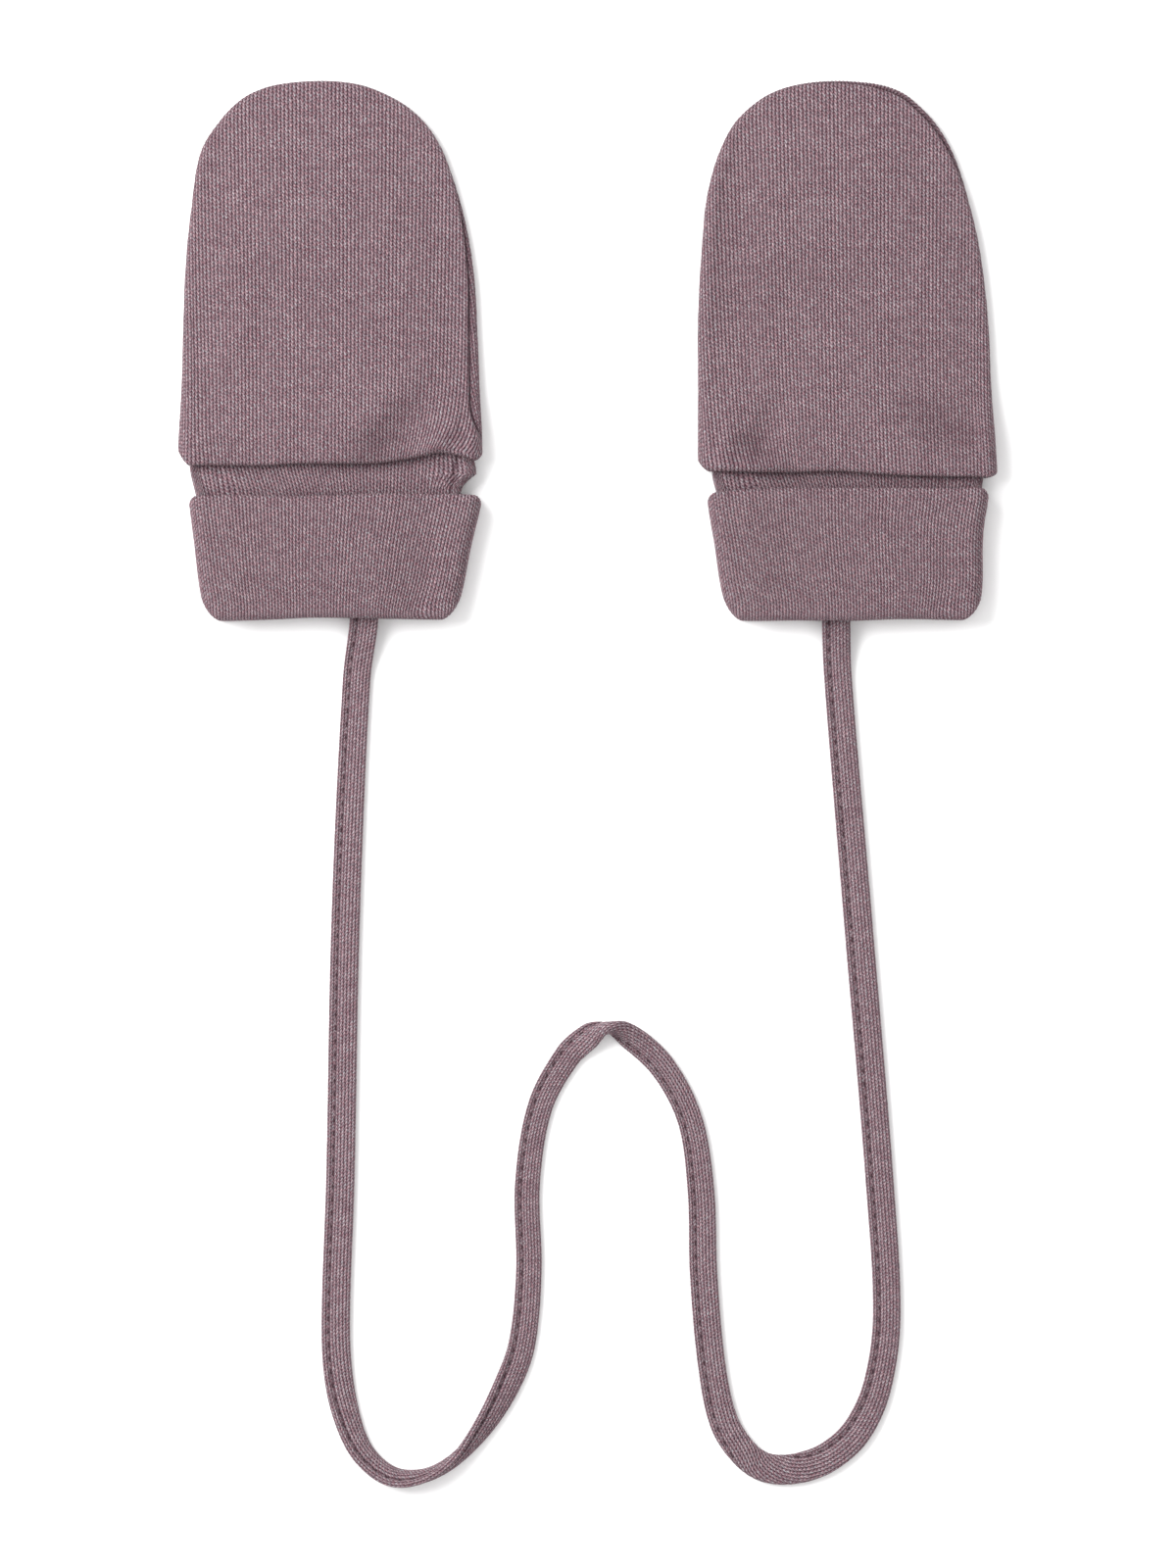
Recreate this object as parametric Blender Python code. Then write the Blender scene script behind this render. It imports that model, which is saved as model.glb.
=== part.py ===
"""A pair of knitted baby mittens that lie flat, tied together by a flat cord.

Blender works in metres here; the sizes below are in millimetres, and MM turns one into the other.
X runs across the pair, Y from the cuffs to the fingertips, and Z up from the surface they lie on.
Each mitten has a front and a back panel, seamed round the sides and the tip, and a cuff of doubled
cloth that is turned up on itself. "Along" is measured up a mitten from the lower fold of its cuff,
"across" from the mitten's own middle line, and "depth" inwards from the outer face of the cloth.
"""

import math
from collections import namedtuple

import bmesh
import bpy
import numpy as np

MM = 0.001

# Driving sizes
MITTEN_LENGTH = 118.9
MITTENS_APART = 112.8
BODY_WALL = 1.0
CUFF_WALL = 1.5
SEAM_GAP = 0.3
CORD_WIDTH = 6.45
CORD_THICKNESS = 2.6

# The hand part is turned under at the wrist, and its turned-in edge is sewn to the cuff.
BODY_FOLD = BODY_WALL + SEAM_GAP / 2
TURNED_IN = 2.2
SEAM_ABOVE_LIP = 3.2
CORNER_REACH = 2.5

# The turned-up cuff: two walls with a gap between them, round a flat hollow.
CUFF_HALF = 4.9
CUFF_FOLD = CUFF_WALL + SEAM_GAP / 2
CUFF_OUTSIDE = 2 * CUFF_WALL + SEAM_GAP
CUFF_CORNER = 4.2
CUFF_TOP_CORNER = 1.6
CUFF_CROWN = 0.3
HOLLOW_END = 0.6
CROWN_REACH = 16.0
TROUGH_RUN = 3.0
EDGE_CALM = 2.0

# How finely the solids are divided
ACROSS_STEPS = {"front": 20, "back": 12}
SIDE_STEPS = 11
SIDE_CROWDING = 1.2
OUTLINE_SAMPLES = 240
ROLL_STEPS = {"front": 3, "back": 4}
FOLD_STEPS = 4
CUFF_ACROSS_STEPS = 12
CUFF_MIDDLE = 12.0
CUFF_END_STEPS = 4
CUFF_TURN_SHARES = (0.0, 0.25, 0.5, 0.75, 1.0)
CUFF_INNER_SHARES = (0.0, 0.25, 0.5, 0.68, 0.76, 0.82, 0.88, 1.0)
CORD_STEP = 15.0

Side = namedtuple("Side", "along left right")
Wave = namedtuple("Wave", "across height")
Seam = namedtuple("Seam", "along left right")
Level = namedtuple("Level", "along edge roll middle")
Hollow = namedtuple("Hollow", "along half centre")
Hem = namedtuple("Hem", "across top bottom")
Fold = namedtuple("Fold", "across along direction length width height")
Mitten = namedtuple("Mitten", "name middle corner sides lip seams band cuff hem folds")
Stop = namedtuple("Stop", "across up roll size lift")

# Height of the hand part over its length: at its edge, width of the rounded edge, at its middle
LEVELS = (
    Level(30.0, 9.0, 2.9, 9.1),
    Level(41.0, 9.0, 2.9, 9.1),
    Level(46.5, 7.0, 2.7, 8.0),
    Level(53.0, 5.2, 2.4, 6.6),
    Level(61.0, 4.4, 2.2, 5.9),
    Level(78.0, 4.2, 2.1, 5.8),
    Level(94.0, 4.0, 2.0, 5.5),
    Level(106.0, 3.8, 1.9, 4.9),
    Level(114.0, 3.6, 1.8, 4.2),
    Level(118.9, 3.5, 1.7, 3.6),
)

# The flat hollow inside the cuff: half its height, and how high its middle lies
HOLLOWS = (
    Hollow(0.0, 1.6, 4.9),
    Hollow(19.0, 1.6, 4.9),
    Hollow(25.0, 1.3, 4.8),
    Hollow(29.0, 0.8, 4.6),
    Hollow(33.0, 0.4, 4.5),
    Hollow(42.0, 0.4, 4.5),
)

LEFT = Mitten(
    name="left",
    middle=-MITTENS_APART / 2,
    corner=(2.6, 1.4),
    # outline of the hand part, from the wrist up to the tip
    sides=(
        Side(29.0, -33.6, 33.6),
        Side(37.3, -33.5, 33.5),
        Side(50.2, -32.9, 32.8),
        Side(63.1, -32.5, 32.3),
        Side(73.4, -32.3, 31.8),
        Side(83.7, -31.6, 30.5),
        Side(91.5, -30.7, 28.8),
        Side(99.2, -29.7, 26.4),
        Side(104.4, -28.2, 24.3),
        Side(109.5, -24.9, 20.9),
        Side(113.4, -21.4, 16.6),
        Side(116.2, -17.4, 11.6),
        Side(118.1, -11.6, 6.2),
        Side(118.9, -1.9, -1.9),
    ),
    # lower edge of the hand part
    lip=(
        Wave(-31.2, 34.1),
        Wave(-14.4, 33.9),
        Wave(-8.4, 34.3),
        Wave(9.2, 34.4),
        Wave(16.1, 35.2),
        Wave(21.1, 36.2),
        Wave(23.7, 36.7),
        Wave(27.5, 36.3),
        Wave(31.0, 35.4),
        Wave(33.1, 34.6),
    ),
    # where the side seams run, in degrees up from the widest point of the edge
    seams=(
        Seam(30.0, -12, 80),
        Seam(60.0, -12, 78),
        Seam(72.0, -12, 62),
        Seam(84.0, -12, 40),
        Seam(97.0, -10, 10),
        Seam(108.0, -5, 0),
        Seam(118.9, 0, 0),
    ),
    # outer face of the cuff's inner wall, which shows between hand and turn-up
    band=(
        Side(0.0, -26.3, 26.4),
        Side(8.9, -27.2, 27.7),
        Side(16.7, -28.1, 29.2),
        Side(22.0, -28.8, 30.2),
        Side(26.0, -29.2, 29.2),
        Side(28.7, -29.8, 28.7),
        Side(30.6, -30.3, 30.0),
        Side(32.4, -30.7, 31.5),
        Side(34.4, -30.9, 30.8),
        Side(41.0, -30.9, 30.8),
    ),
    # outer face of the turned-up wall
    cuff=(
        Side(0.0, -28.1, 28.2),
        Side(3.8, -28.2, 28.4),
        Side(8.9, -29.0, 29.5),
        Side(16.7, -29.9, 31.0),
        Side(25.5, -31.0, 33.1),
        Side(29.0, -31.3, 33.6),
    ),
    # upper edge of the turn-up and lower fold
    hem=(
        Hem(-31.0, 27.4, 0.0),
        Hem(-23.2, 27.5, 0.0),
        Hem(-13.3, 27.3, 0.3),
        Hem(-3.4, 27.4, 0.7),
        Hem(11.4, 28.0, 0.5),
        Hem(23.6, 27.8, 0.3),
        Hem(33.0, 27.5, 0.2),
    ),
    # soft folds of the upper side: a ridge is above zero and a trough below
    folds=(
        Fold(27.0, 42.5, 62, 7.5, 1.5, 0.8),
        Fold(24.0, 41.5, 98, 6.5, 1.4, 0.6),
        Fold(22.8, 44.0, 82, 7.0, 1.3, -0.7),
        Fold(15.5, 41.0, 148, 9.0, 2.6, -0.7),
        Fold(10.0, 47.0, 140, 10.0, 3.4, 0.4),
        Fold(-25.5, 52.0, 35, 6.0, 2.2, -0.7),
        Fold(-27.0, 47.5, 60, 6.0, 2.0, 0.5),
        Fold(4.0, 70.0, 172, 16.0, 5.0, -0.3),
        Fold(-9.0, 90.0, 15, 14.0, 6.0, 0.25),
    ),
)

RIGHT = Mitten(
    name="right",
    middle=MITTENS_APART / 2,
    corner=(1.5, 0.3),
    sides=(
        Side(29.0, -32.2, 33.7),
        Side(37.3, -32.3, 33.3),
        Side(50.2, -32.3, 32.4),
        Side(63.1, -32.4, 31.9),
        Side(73.4, -32.1, 31.0),
        Side(83.7, -31.4, 29.5),
        Side(91.5, -30.7, 27.7),
        Side(99.2, -29.0, 25.4),
        Side(104.4, -27.1, 23.2),
        Side(109.5, -24.3, 20.0),
        Side(113.4, -20.4, 16.3),
        Side(116.2, -16.1, 12.7),
        Side(118.1, -10.3, 7.3),
        Side(118.9, -1.7, -1.7),
    ),
    lip=(
        Wave(-30.0, 32.8),
        Wave(-13.3, 32.4),
        Wave(-1.3, 32.7),
        Wave(6.5, 32.1),
        Wave(14.0, 31.7),
        Wave(22.4, 31.5),
        Wave(31.8, 31.5),
    ),
    seams=(
        Seam(30.0, -12, -12),
        Seam(78.0, -12, -12),
        Seam(90.0, -12, 0),
        Seam(99.0, -12, 25),
        Seam(108.0, -10, 45),
        Seam(114.0, -5, 52),
        Seam(117.8, 5, 50),
        Seam(118.9, 30, 30),
    ),
    band=(
        Side(0.0, -24.6, 28.0),
        Side(8.9, -25.7, 28.5),
        Side(16.7, -26.8, 28.5),
        Side(22.0, -27.7, 28.9),
        Side(26.0, -28.0, 29.4),
        Side(28.3, -28.2, 30.0),
        Side(30.0, -28.7, 30.2),
        Side(32.1, -29.1, 30.5),
        Side(41.0, -29.4, 30.7),
    ),
    cuff=(
        Side(0.0, -26.4, 29.8),
        Side(3.8, -26.5, 29.9),
        Side(8.9, -27.5, 30.3),
        Side(16.7, -28.6, 30.3),
        Side(21.8, -29.5, 30.7),
        Side(26.5, -30.2, 31.5),
        Side(30.0, -30.6, 31.7),
    ),
    hem=(
        Hem(-29.5, 27.9, 0.1),
        Hem(-20.0, 28.7, 0.0),
        Hem(-12.0, 29.1, 0.1),
        Hem(0.0, 29.1, 0.0),
        Hem(13.0, 29.1, 0.4),
        Hem(24.0, 29.2, 0.2),
        Hem(31.5, 29.2, 0.1),
    ),
    folds=(
        Fold(-24.0, 44.0, 62, 11.0, 2.4, -0.7),
        Fold(-19.0, 41.5, 68, 9.0, 2.4, 0.6),
        Fold(-28.0, 41.0, 75, 7.0, 1.6, 0.5),
        Fold(3.0, 43.0, 172, 13.0, 3.0, -0.5),
        Fold(12.0, 52.0, 25, 12.0, 4.0, 0.35),
        Fold(20.0, 41.0, 165, 9.0, 2.6, 0.4),
        Fold(-6.0, 74.0, 12, 16.0, 6.0, -0.3),
        Fold(6.0, 98.0, 160, 12.0, 5.0, 0.25),
    ),
)

# The cord's route, from inside the left cuff to inside the right one. "Roll" turns the cord over:
# its sewn edge points to the right of the way at 0, up at 90 and to the left at 180 degrees.
# "Size" is the share of its full width, and "lift" the height of its lowest point.
ON_TABLE = 0.05
IN_CUFF = CUFF_HALF - CORD_THICKNESS / 2
CORD_ROUTE = (
    Stop(-49.0, -47.5, 0, 1.00, IN_CUFF),
    Stop(-49.0, -59.0, 0, 1.00, IN_CUFF),
    Stop(-50.7, -72.0, 0, 0.97, ON_TABLE),
    Stop(-53.1, -124.0, 0, 1.00, ON_TABLE),
    Stop(-54.3, -182.0, 0, 1.00, ON_TABLE),
    Stop(-55.3, -213.5, 3, 1.00, ON_TABLE),
    Stop(-54.6, -226.0, 14, 1.00, ON_TABLE),
    Stop(-52.2, -236.2, 34, 1.00, ON_TABLE),
    Stop(-48.9, -242.8, 48, 1.00, ON_TABLE),
    Stop(-43.0, -247.3, 58, 1.00, ON_TABLE),
    Stop(-36.0, -247.2, 78, 1.00, ON_TABLE),
    Stop(-29.4, -243.6, 98, 1.00, ON_TABLE),
    Stop(-23.6, -237.1, 124, 1.00, ON_TABLE),
    Stop(-18.4, -228.6, 148, 1.00, ON_TABLE),
    Stop(-14.5, -218.5, 168, 0.94, ON_TABLE),
    Stop(-12.9, -202.0, 180, 0.90, ON_TABLE),
    Stop(-13.2, -183.0, 180, 0.88, ON_TABLE),
    Stop(-10.4, -166.0, 180, 0.88, ON_TABLE),
    Stop(-4.4, -154.9, 182, 0.92, ON_TABLE),
    Stop(0.5, -150.2, 215, 1.00, ON_TABLE),
    Stop(4.4, -149.2, 272, 1.00, ON_TABLE),
    Stop(8.9, -150.7, 325, 1.00, ON_TABLE),
    Stop(16.6, -157.5, 358, 0.91, ON_TABLE),
    Stop(22.5, -169.0, 360, 0.88, ON_TABLE),
    Stop(24.9, -184.5, 360, 0.94, ON_TABLE),
    Stop(25.5, -203.0, 360, 0.97, ON_TABLE),
    Stop(27.3, -223.0, 360, 0.95, ON_TABLE),
    Stop(30.0, -235.4, 362, 0.97, ON_TABLE),
    Stop(34.6, -242.4, 375, 1.00, ON_TABLE),
    Stop(39.4, -245.4, 430, 1.00, ON_TABLE),
    Stop(46.0, -245.5, 500, 1.00, ON_TABLE),
    Stop(53.0, -242.9, 530, 1.05, ON_TABLE),
    Stop(59.2, -237.2, 538, 1.05, ON_TABLE),
    Stop(63.6, -227.5, 540, 1.00, ON_TABLE),
    Stop(65.7, -212.0, 540, 0.97, ON_TABLE),
    Stop(64.1, -182.0, 540, 0.98, ON_TABLE),
    Stop(59.3, -124.0, 540, 1.00, ON_TABLE),
    Stop(55.0, -72.0, 540, 0.97, ON_TABLE),
    Stop(54.5, -59.0, 540, 1.00, IN_CUFF),
    Stop(54.5, -47.5, 540, 1.00, IN_CUFF),
)

# The hand part's outline is read round the tip as a turn of an ellipse that starts at BASE.
BASE = 27.0
RISE = MITTEN_LENGTH - BASE
SHOULDER = 109.5


def smooth(places, values, at):
    """Values at some places on the smooth curve through a table."""
    places, values = np.asarray(places, float), np.asarray(values, float)
    inner = (values[2:] - values[:-2]) / (places[2:] - places[:-2])
    ends = np.diff(values)[[0, -1]] / np.diff(places)[[0, -1]]
    slopes = np.concatenate([ends[:1], inner, ends[1:]])
    at = np.clip(at, places[0], places[-1])
    i = np.clip(np.searchsorted(places, at) - 1, 0, len(places) - 2)
    step = places[i + 1] - places[i]
    t = (at - places[i]) / step
    start = (1 + 2 * t) * (1 - t) ** 2 * values[i] + t * (1 - t) ** 2 * step * slopes[i]
    end = t * t * (3 - 2 * t) * values[i + 1] + t * t * (t - 1) * step * slopes[i + 1]
    return start + end


def column(table, name, key, at):
    """One column of a table, read along its key column."""
    return smooth([getattr(row, key) for row in table], [getattr(row, name) for row in table], at)


def ease(t):
    t = min(max(t, 0.0), 1.0)
    return t * t * (3 - 2 * t)


class Body:
    """The shape of one mitten's hand part, before it is divided into panels."""

    def __init__(self, mitten):
        self.mitten = mitten
        wrist_to_tip = mitten.sides
        turns = [self.turn_at(row.along) for row in wrist_to_tip]
        self.turns = [-t for t in turns] + turns[-2::-1]
        self.across = [row.left for row in wrist_to_tip]
        self.across += [row.right for row in wrist_to_tip[-2::-1]]
        spread = np.linspace(self.turns[0], self.turns[-1], OUTLINE_SAMPLES + 1)
        self.border = np.array([self.outline(turn) for turn in spread])

    @staticmethod
    def turn_at(along):
        return math.acos(min((along - BASE) / RISE, 1.0))

    def outline(self, turn):
        """The point of the outline at a turn: below zero on the left side, above it on the right."""
        return np.array([float(smooth(self.turns, self.across, turn)), BASE + RISE * math.cos(turn)])

    def edge(self, turn):
        """The edge's point, its outward direction, its half height, its roll and its seam angle."""
        nudge = 1e-3
        way = self.outline(turn + nudge) - self.outline(turn - nudge)
        out = np.array([-way[1], way[0]]) / np.hypot(*way)
        point = self.outline(turn)
        half = float(column(LEVELS, "edge", "along", point[1])) / 2
        roll = float(column(LEVELS, "roll", "along", point[1]))
        side = "left" if turn < 0 else "right"
        seam = math.radians(float(column(self.mitten.seams, side, "along", point[1])))
        return point, out, half, roll, seam

    def roll_point(self, turn, share, panel, depth):
        """A point of the rounded edge: share 0 at the side seam, 1 where the flat cloth begins."""
        point, out, half, roll, seam = self.edge(turn)
        height, width = half - depth, roll - depth
        upward = 1 if panel == "front" else -1
        gap = upward * math.asin(SEAM_GAP / 2 / height)
        angle = (seam + gap) * (1 - share) + upward * math.pi / 2 * share
        spot = point + out * (width * math.cos(angle) - roll)
        return np.array([*spot, half + height * math.sin(angle)])

    def inset(self, turn):
        """The point in the plane where the rounded edge ends."""
        point, out, _, roll, _ = self.edge(turn)
        return point - out * roll

    def lift(self, spot, panel, depth, ruffle=1.0):
        """Height of the cloth at a point of the plane inside the rounded edge. Ridges run out to the
        lip by the ruffle's share, and troughs end above the cloth that is turned in there."""
        if panel == "back":
            return depth
        away = np.hypot(*(self.border - spot).T).min()
        edge = float(column(LEVELS, "edge", "along", spot[1]))
        roll = float(column(LEVELS, "roll", "along", spot[1]))
        middle = float(column(LEVELS, "middle", "along", spot[1]))
        inner = ease((away - roll) / (CROWN_REACH - roll))
        height = edge + (middle - edge) * inner
        clear = ease((spot[1] - self.lip(spot[0]) - SEAM_ABOVE_LIP) / TROUGH_RUN)
        for fold in self.mitten.folds:
            turn = math.radians(fold.direction)
            reach = spot - (fold.across, fold.along)
            length = (reach[0] * math.cos(turn) + reach[1] * math.sin(turn)) / fold.length
            width = (reach[1] * math.cos(turn) - reach[0] * math.sin(turn)) / fold.width
            share = ease((away - roll) / EDGE_CALM) * (ruffle if fold.height > 0 else clear)
            height += fold.height * share * math.exp(-(length**2) - width**2)
        return height - depth

    def lip(self, across):
        """How far along the lower edge of the hand part lies, with its rounded corners."""
        height = float(column(self.mitten.lip, "height", "across", across))
        ends = (self.outline(self.turns[0])[0], self.outline(self.turns[-1])[0])
        for end, rise in zip(ends, self.mitten.corner):
            near = 1 - min(abs(across - end) / CORNER_REACH, 1.0)
            height += rise * near**2
        return height


def blend_patch(bottom, top, left, right, heights):
    """Fills four borders with a grid of points; row 0 is the bottom border."""
    columns = np.linspace(0, 1, len(bottom))
    grid = np.zeros((len(left), len(bottom), 2))
    for j, v in enumerate(heights):
        for i, u in enumerate(columns):
            along = (1 - v) * bottom[i] + v * top[i]
            cross = (1 - u) * left[j] + u * right[j]
            low = (1 - u) * bottom[0] + u * bottom[-1]
            high = (1 - u) * top[0] + u * top[-1]
            grid[j, i] = along + cross - (1 - v) * low - v * high
    return grid


class Skin:
    """Points in pairs, outside and inside a wall, and the faces between them."""

    def __init__(self):
        self.index, self.outer, self.inner, self.faces = {}, [], [], []

    def add(self, label, outer, inner):
        self.index[label] = len(self.outer)
        self.outer.append(outer)
        self.inner.append(inner)

    def face(self, *labels):
        corners = [self.index[label] for label in labels]
        self.faces.append(corners)

    def solid(self, name, place, material):
        """Closes the wall between the two skins and makes it an object."""
        count = len(self.outer)
        edges = {}
        for face in self.faces:
            for a, b in zip(face, face[1:] + face[:1]):
                edges.setdefault((min(a, b), max(a, b)), []).append((a, b))
        rim = [uses[0] for uses in edges.values() if len(uses) == 1]
        faces = list(self.faces)
        faces += [[count + i for i in reversed(face)] for face in self.faces]
        faces += [[b, a, count + a, count + b] for a, b in rim]
        points = [p + np.array(place) for p in self.outer + self.inner]
        return mesh_object(name, points, faces, material)


def mesh_object(name, points, faces, material):
    mesh = bpy.data.meshes.new(name)
    mesh.from_pydata([tuple(float(x) * MM for x in p) for p in points], [], faces)
    work = bmesh.new()
    work.from_mesh(mesh)
    bmesh.ops.recalc_face_normals(work, faces=work.faces)
    if work.calc_volume(signed=True) < 0:
        bmesh.ops.reverse_faces(work, faces=work.faces)
    work.to_mesh(mesh)
    work.free()
    mesh.shade_smooth()
    mesh.materials.append(material)
    made = bpy.data.objects.new(name, mesh)
    bpy.context.scene.collection.objects.link(made)
    return made


def wall_rows():
    """Rows of the turned-in wrist edge below the outer wall: how far along each skin lies from the
    lip, and how deep, for the fold and for the end of the turned-in cloth."""
    rows = []
    for step in range(1, FOLD_STEPS + 1):
        angle = math.pi * step / FOLD_STEPS
        skins = []
        for radius in (BODY_FOLD, BODY_FOLD - BODY_WALL):
            skins.append((BODY_FOLD - radius * math.sin(angle), BODY_FOLD - radius * math.cos(angle)))
        rows.append(skins)
    outer_depth, inner_depth = rows[-1][0][1], rows[-1][1][1]
    end = BODY_FOLD + TURNED_IN
    rows.append([(end, outer_depth), (end, inner_depth)])
    return rows


def make_panel(body, panel, material):
    """One panel of a mitten: a wall from seam to seam, over the tip and under at the wrist."""
    mitten = body.mitten
    across, roll_steps = ACROSS_STEPS[panel], ROLL_STEPS[panel]
    left_end, right_end = body.outline(body.turns[0])[0], body.outline(body.turns[-1])[0]
    heights = (np.arange(SIDE_STEPS + 1) / SIDE_STEPS) ** SIDE_CROWDING
    skin = Skin()

    def corner_at(side, share):
        """Where the rounded edge meets the lip, for one share of the roll."""
        end = left_end if side < 0 else right_end
        roll = LEVELS[0].roll
        start = mitten.seams[0].left if side < 0 else mitten.seams[0].right
        upward = 90 if panel == "front" else -90
        angle = math.radians(start * (1 - share) + upward * share)
        return body.lip(end - side * roll * (1 - math.cos(angle)))

    def side_turn(side, row, share):
        low = corner_at(side, share) + BODY_FOLD
        return side * body.turn_at(low + (SHOULDER - low) * heights[row])

    shoulder_turn = body.turn_at(SHOULDER)
    dome = np.linspace(-shoulder_turn, shoulder_turn, OUTLINE_SAMPLES + 1)
    walk = np.array([body.outline(t) for t in dome])
    walked = np.concatenate([[0], np.cumsum(np.hypot(*np.diff(walk, axis=0).T))])
    dome_turns = np.interp(np.linspace(0, walked[-1], across + 1), walked, dome)

    def station_turn(station, share):
        """Stations go up the left side, over the tip and down the right side."""
        if station <= SIDE_STEPS:
            return side_turn(-1, station, share)
        if station >= SIDE_STEPS + across:
            return side_turn(1, 2 * SIDE_STEPS + across - station, share)
        return dome_turns[station - SIDE_STEPS]

    stations = 2 * SIDE_STEPS + across
    for station in range(stations + 1):
        for k in range(roll_steps + 1):
            share = k / roll_steps
            turn = station_turn(station, share)
            pair = [body.roll_point(turn, share, panel, depth) for depth in (0, BODY_WALL)]
            skin.add(("roll", station, k), *pair)

    left = [body.inset(station_turn(j, 1)) for j in range(SIDE_STEPS + 1)]
    right = [body.inset(station_turn(stations - j, 1)) for j in range(SIDE_STEPS + 1)]
    top = [body.inset(station_turn(SIDE_STEPS + i, 1)) for i in range(across + 1)]
    bottom = []
    for i in range(across + 1):
        x = left[0][0] + (right[0][0] - left[0][0]) * i / across
        bottom.append(np.array([x, body.lip(x) + BODY_FOLD]))
    bottom[0], bottom[-1] = left[0], right[0]
    grid = blend_patch(bottom, top, left, right, heights)

    def cloth(i, j):
        """The label of a grid point; the grid's borders are the inner ends of the roll."""
        if i == 0:
            return ("roll", j, roll_steps)
        if i == across:
            return ("roll", stations - j, roll_steps)
        if j == SIDE_STEPS:
            return ("roll", SIDE_STEPS + i, roll_steps)
        return ("cloth", i, j)

    for j in range(SIDE_STEPS):
        for i in range(1, across):
            spot = grid[j, i]
            pair = [np.array([*spot, body.lift(spot, panel, d)]) for d in (0, BODY_WALL)]
            skin.add(("cloth", i, j), *pair)

    for station in range(stations):
        for k in range(roll_steps):
            a, b = ("roll", station, k), ("roll", station + 1, k)
            skin.face(a, b, ("roll", station + 1, k + 1), ("roll", station, k + 1))
    for j in range(SIDE_STEPS):
        for i in range(across):
            skin.face(cloth(i, j), cloth(i, j + 1), cloth(i + 1, j + 1), cloth(i + 1, j))

    ring = across + 2 * roll_steps
    rows = wall_rows()

    def wrist(c, r):
        if r:
            return ("wrist", c, r)
        if c <= roll_steps:
            return ("roll", 0, c)
        if c >= roll_steps + across:
            return ("roll", stations, ring - c)
        return cloth(c - roll_steps, 0)

    def wrist_point(c, low, depth, ruffle):
        """A point of the turned-in edge, some way above the lip and some depth in."""
        if c <= roll_steps or c >= roll_steps + across:
            side = -1 if c <= roll_steps else 1
            share = (c if side < 0 else ring - c) / roll_steps
            turn = side * body.turn_at(corner_at(side, share) + low)
            return body.roll_point(turn, share, panel, depth)
        share = (c - roll_steps) / across
        x = bottom[0][0] + (bottom[-1][0] - bottom[0][0]) * share
        along = body.lip(x) + low
        turn = body.turn_at(along)
        ends = body.inset(-turn)[0], body.inset(turn)[0]
        spot = np.array([ends[0] + (ends[1] - ends[0]) * share, along])
        return np.array([*spot, body.lift(spot, panel, depth, ruffle)])

    for r, (outer, inner) in enumerate(rows, 1):
        ruffle = max(1 - r / FOLD_STEPS, 0.0)
        for c in range(ring + 1):
            skin.add(("wrist", c, r), wrist_point(c, *outer, ruffle), wrist_point(c, *inner, ruffle))
    for r in range(len(rows)):
        for c in range(ring):
            skin.face(wrist(c, r), wrist(c + 1, r), wrist(c + 1, r + 1), wrist(c, r + 1))

    return skin.solid(f"{mitten.name}_{panel}", placed(mitten), material)


def placed(mitten):
    """Where a mitten's own origin lies: its middle line and the lower fold of its cuff."""
    return (mitten.middle, -MITTEN_LENGTH / 2, 0)


def cuff_columns():
    """Directions round the flattened cuff: across from -1 to 1 on the flat sides, and the angle of
    the round ends, which are None on the flat sides."""
    spans = [(-1 + 2 * i / CUFF_ACROSS_STEPS, 1, None) for i in range(1, CUFF_ACROSS_STEPS)]
    top = [(x, up, angle) for x, up, angle in spans]
    bottom = [(-x, -up, angle) for x, up, angle in spans]
    turns = [math.pi * (0.5 - k / (2 * CUFF_END_STEPS)) for k in range(2 * CUFF_END_STEPS + 1)]
    right = [(1, 0, angle) for angle in turns]
    left = [(-1, 0, -angle) for angle in turns]
    return top + right + bottom + left


def cuff_profile():
    """The cuff's wall seen from the side, as a closed line: which end it is measured from, how far
    along, how deep from the hollow outwards, and 0 for the inner wall up to 1 for the turn-up."""
    folds = np.linspace(0, math.pi, FOLD_STEPS + 1)
    line = [("inner", share, 0.0, 0.0) for share in reversed(CUFF_INNER_SHARES)]
    for angle in folds[1:-1]:
        share = (1 - math.cos(angle)) / 2
        line.append(("fold", -CUFF_FOLD * math.sin(angle), CUFF_OUTSIDE * share, share))
    line += [("turn", share, CUFF_OUTSIDE, 1.0) for share in CUFF_TURN_SHARES]
    line.append(("end", CUFF_WALL / 2, CUFF_OUTSIDE - CUFF_WALL / 2, 1.0))
    line += [("turn", share, CUFF_OUTSIDE - CUFF_WALL, 1.0) for share in reversed(CUFF_TURN_SHARES)]
    line.append(("fold", -SEAM_GAP / 2, CUFF_FOLD, 0.5))
    line += [("inner", share, CUFF_WALL, 0.0) for share in CUFF_INNER_SHARES]
    return line


def rounded(away, radius):
    """How much a corner of this radius draws an edge back, some way from the side."""
    if away >= radius:
        return 0.0
    return radius - math.sqrt(radius**2 - (radius - away) ** 2)


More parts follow.
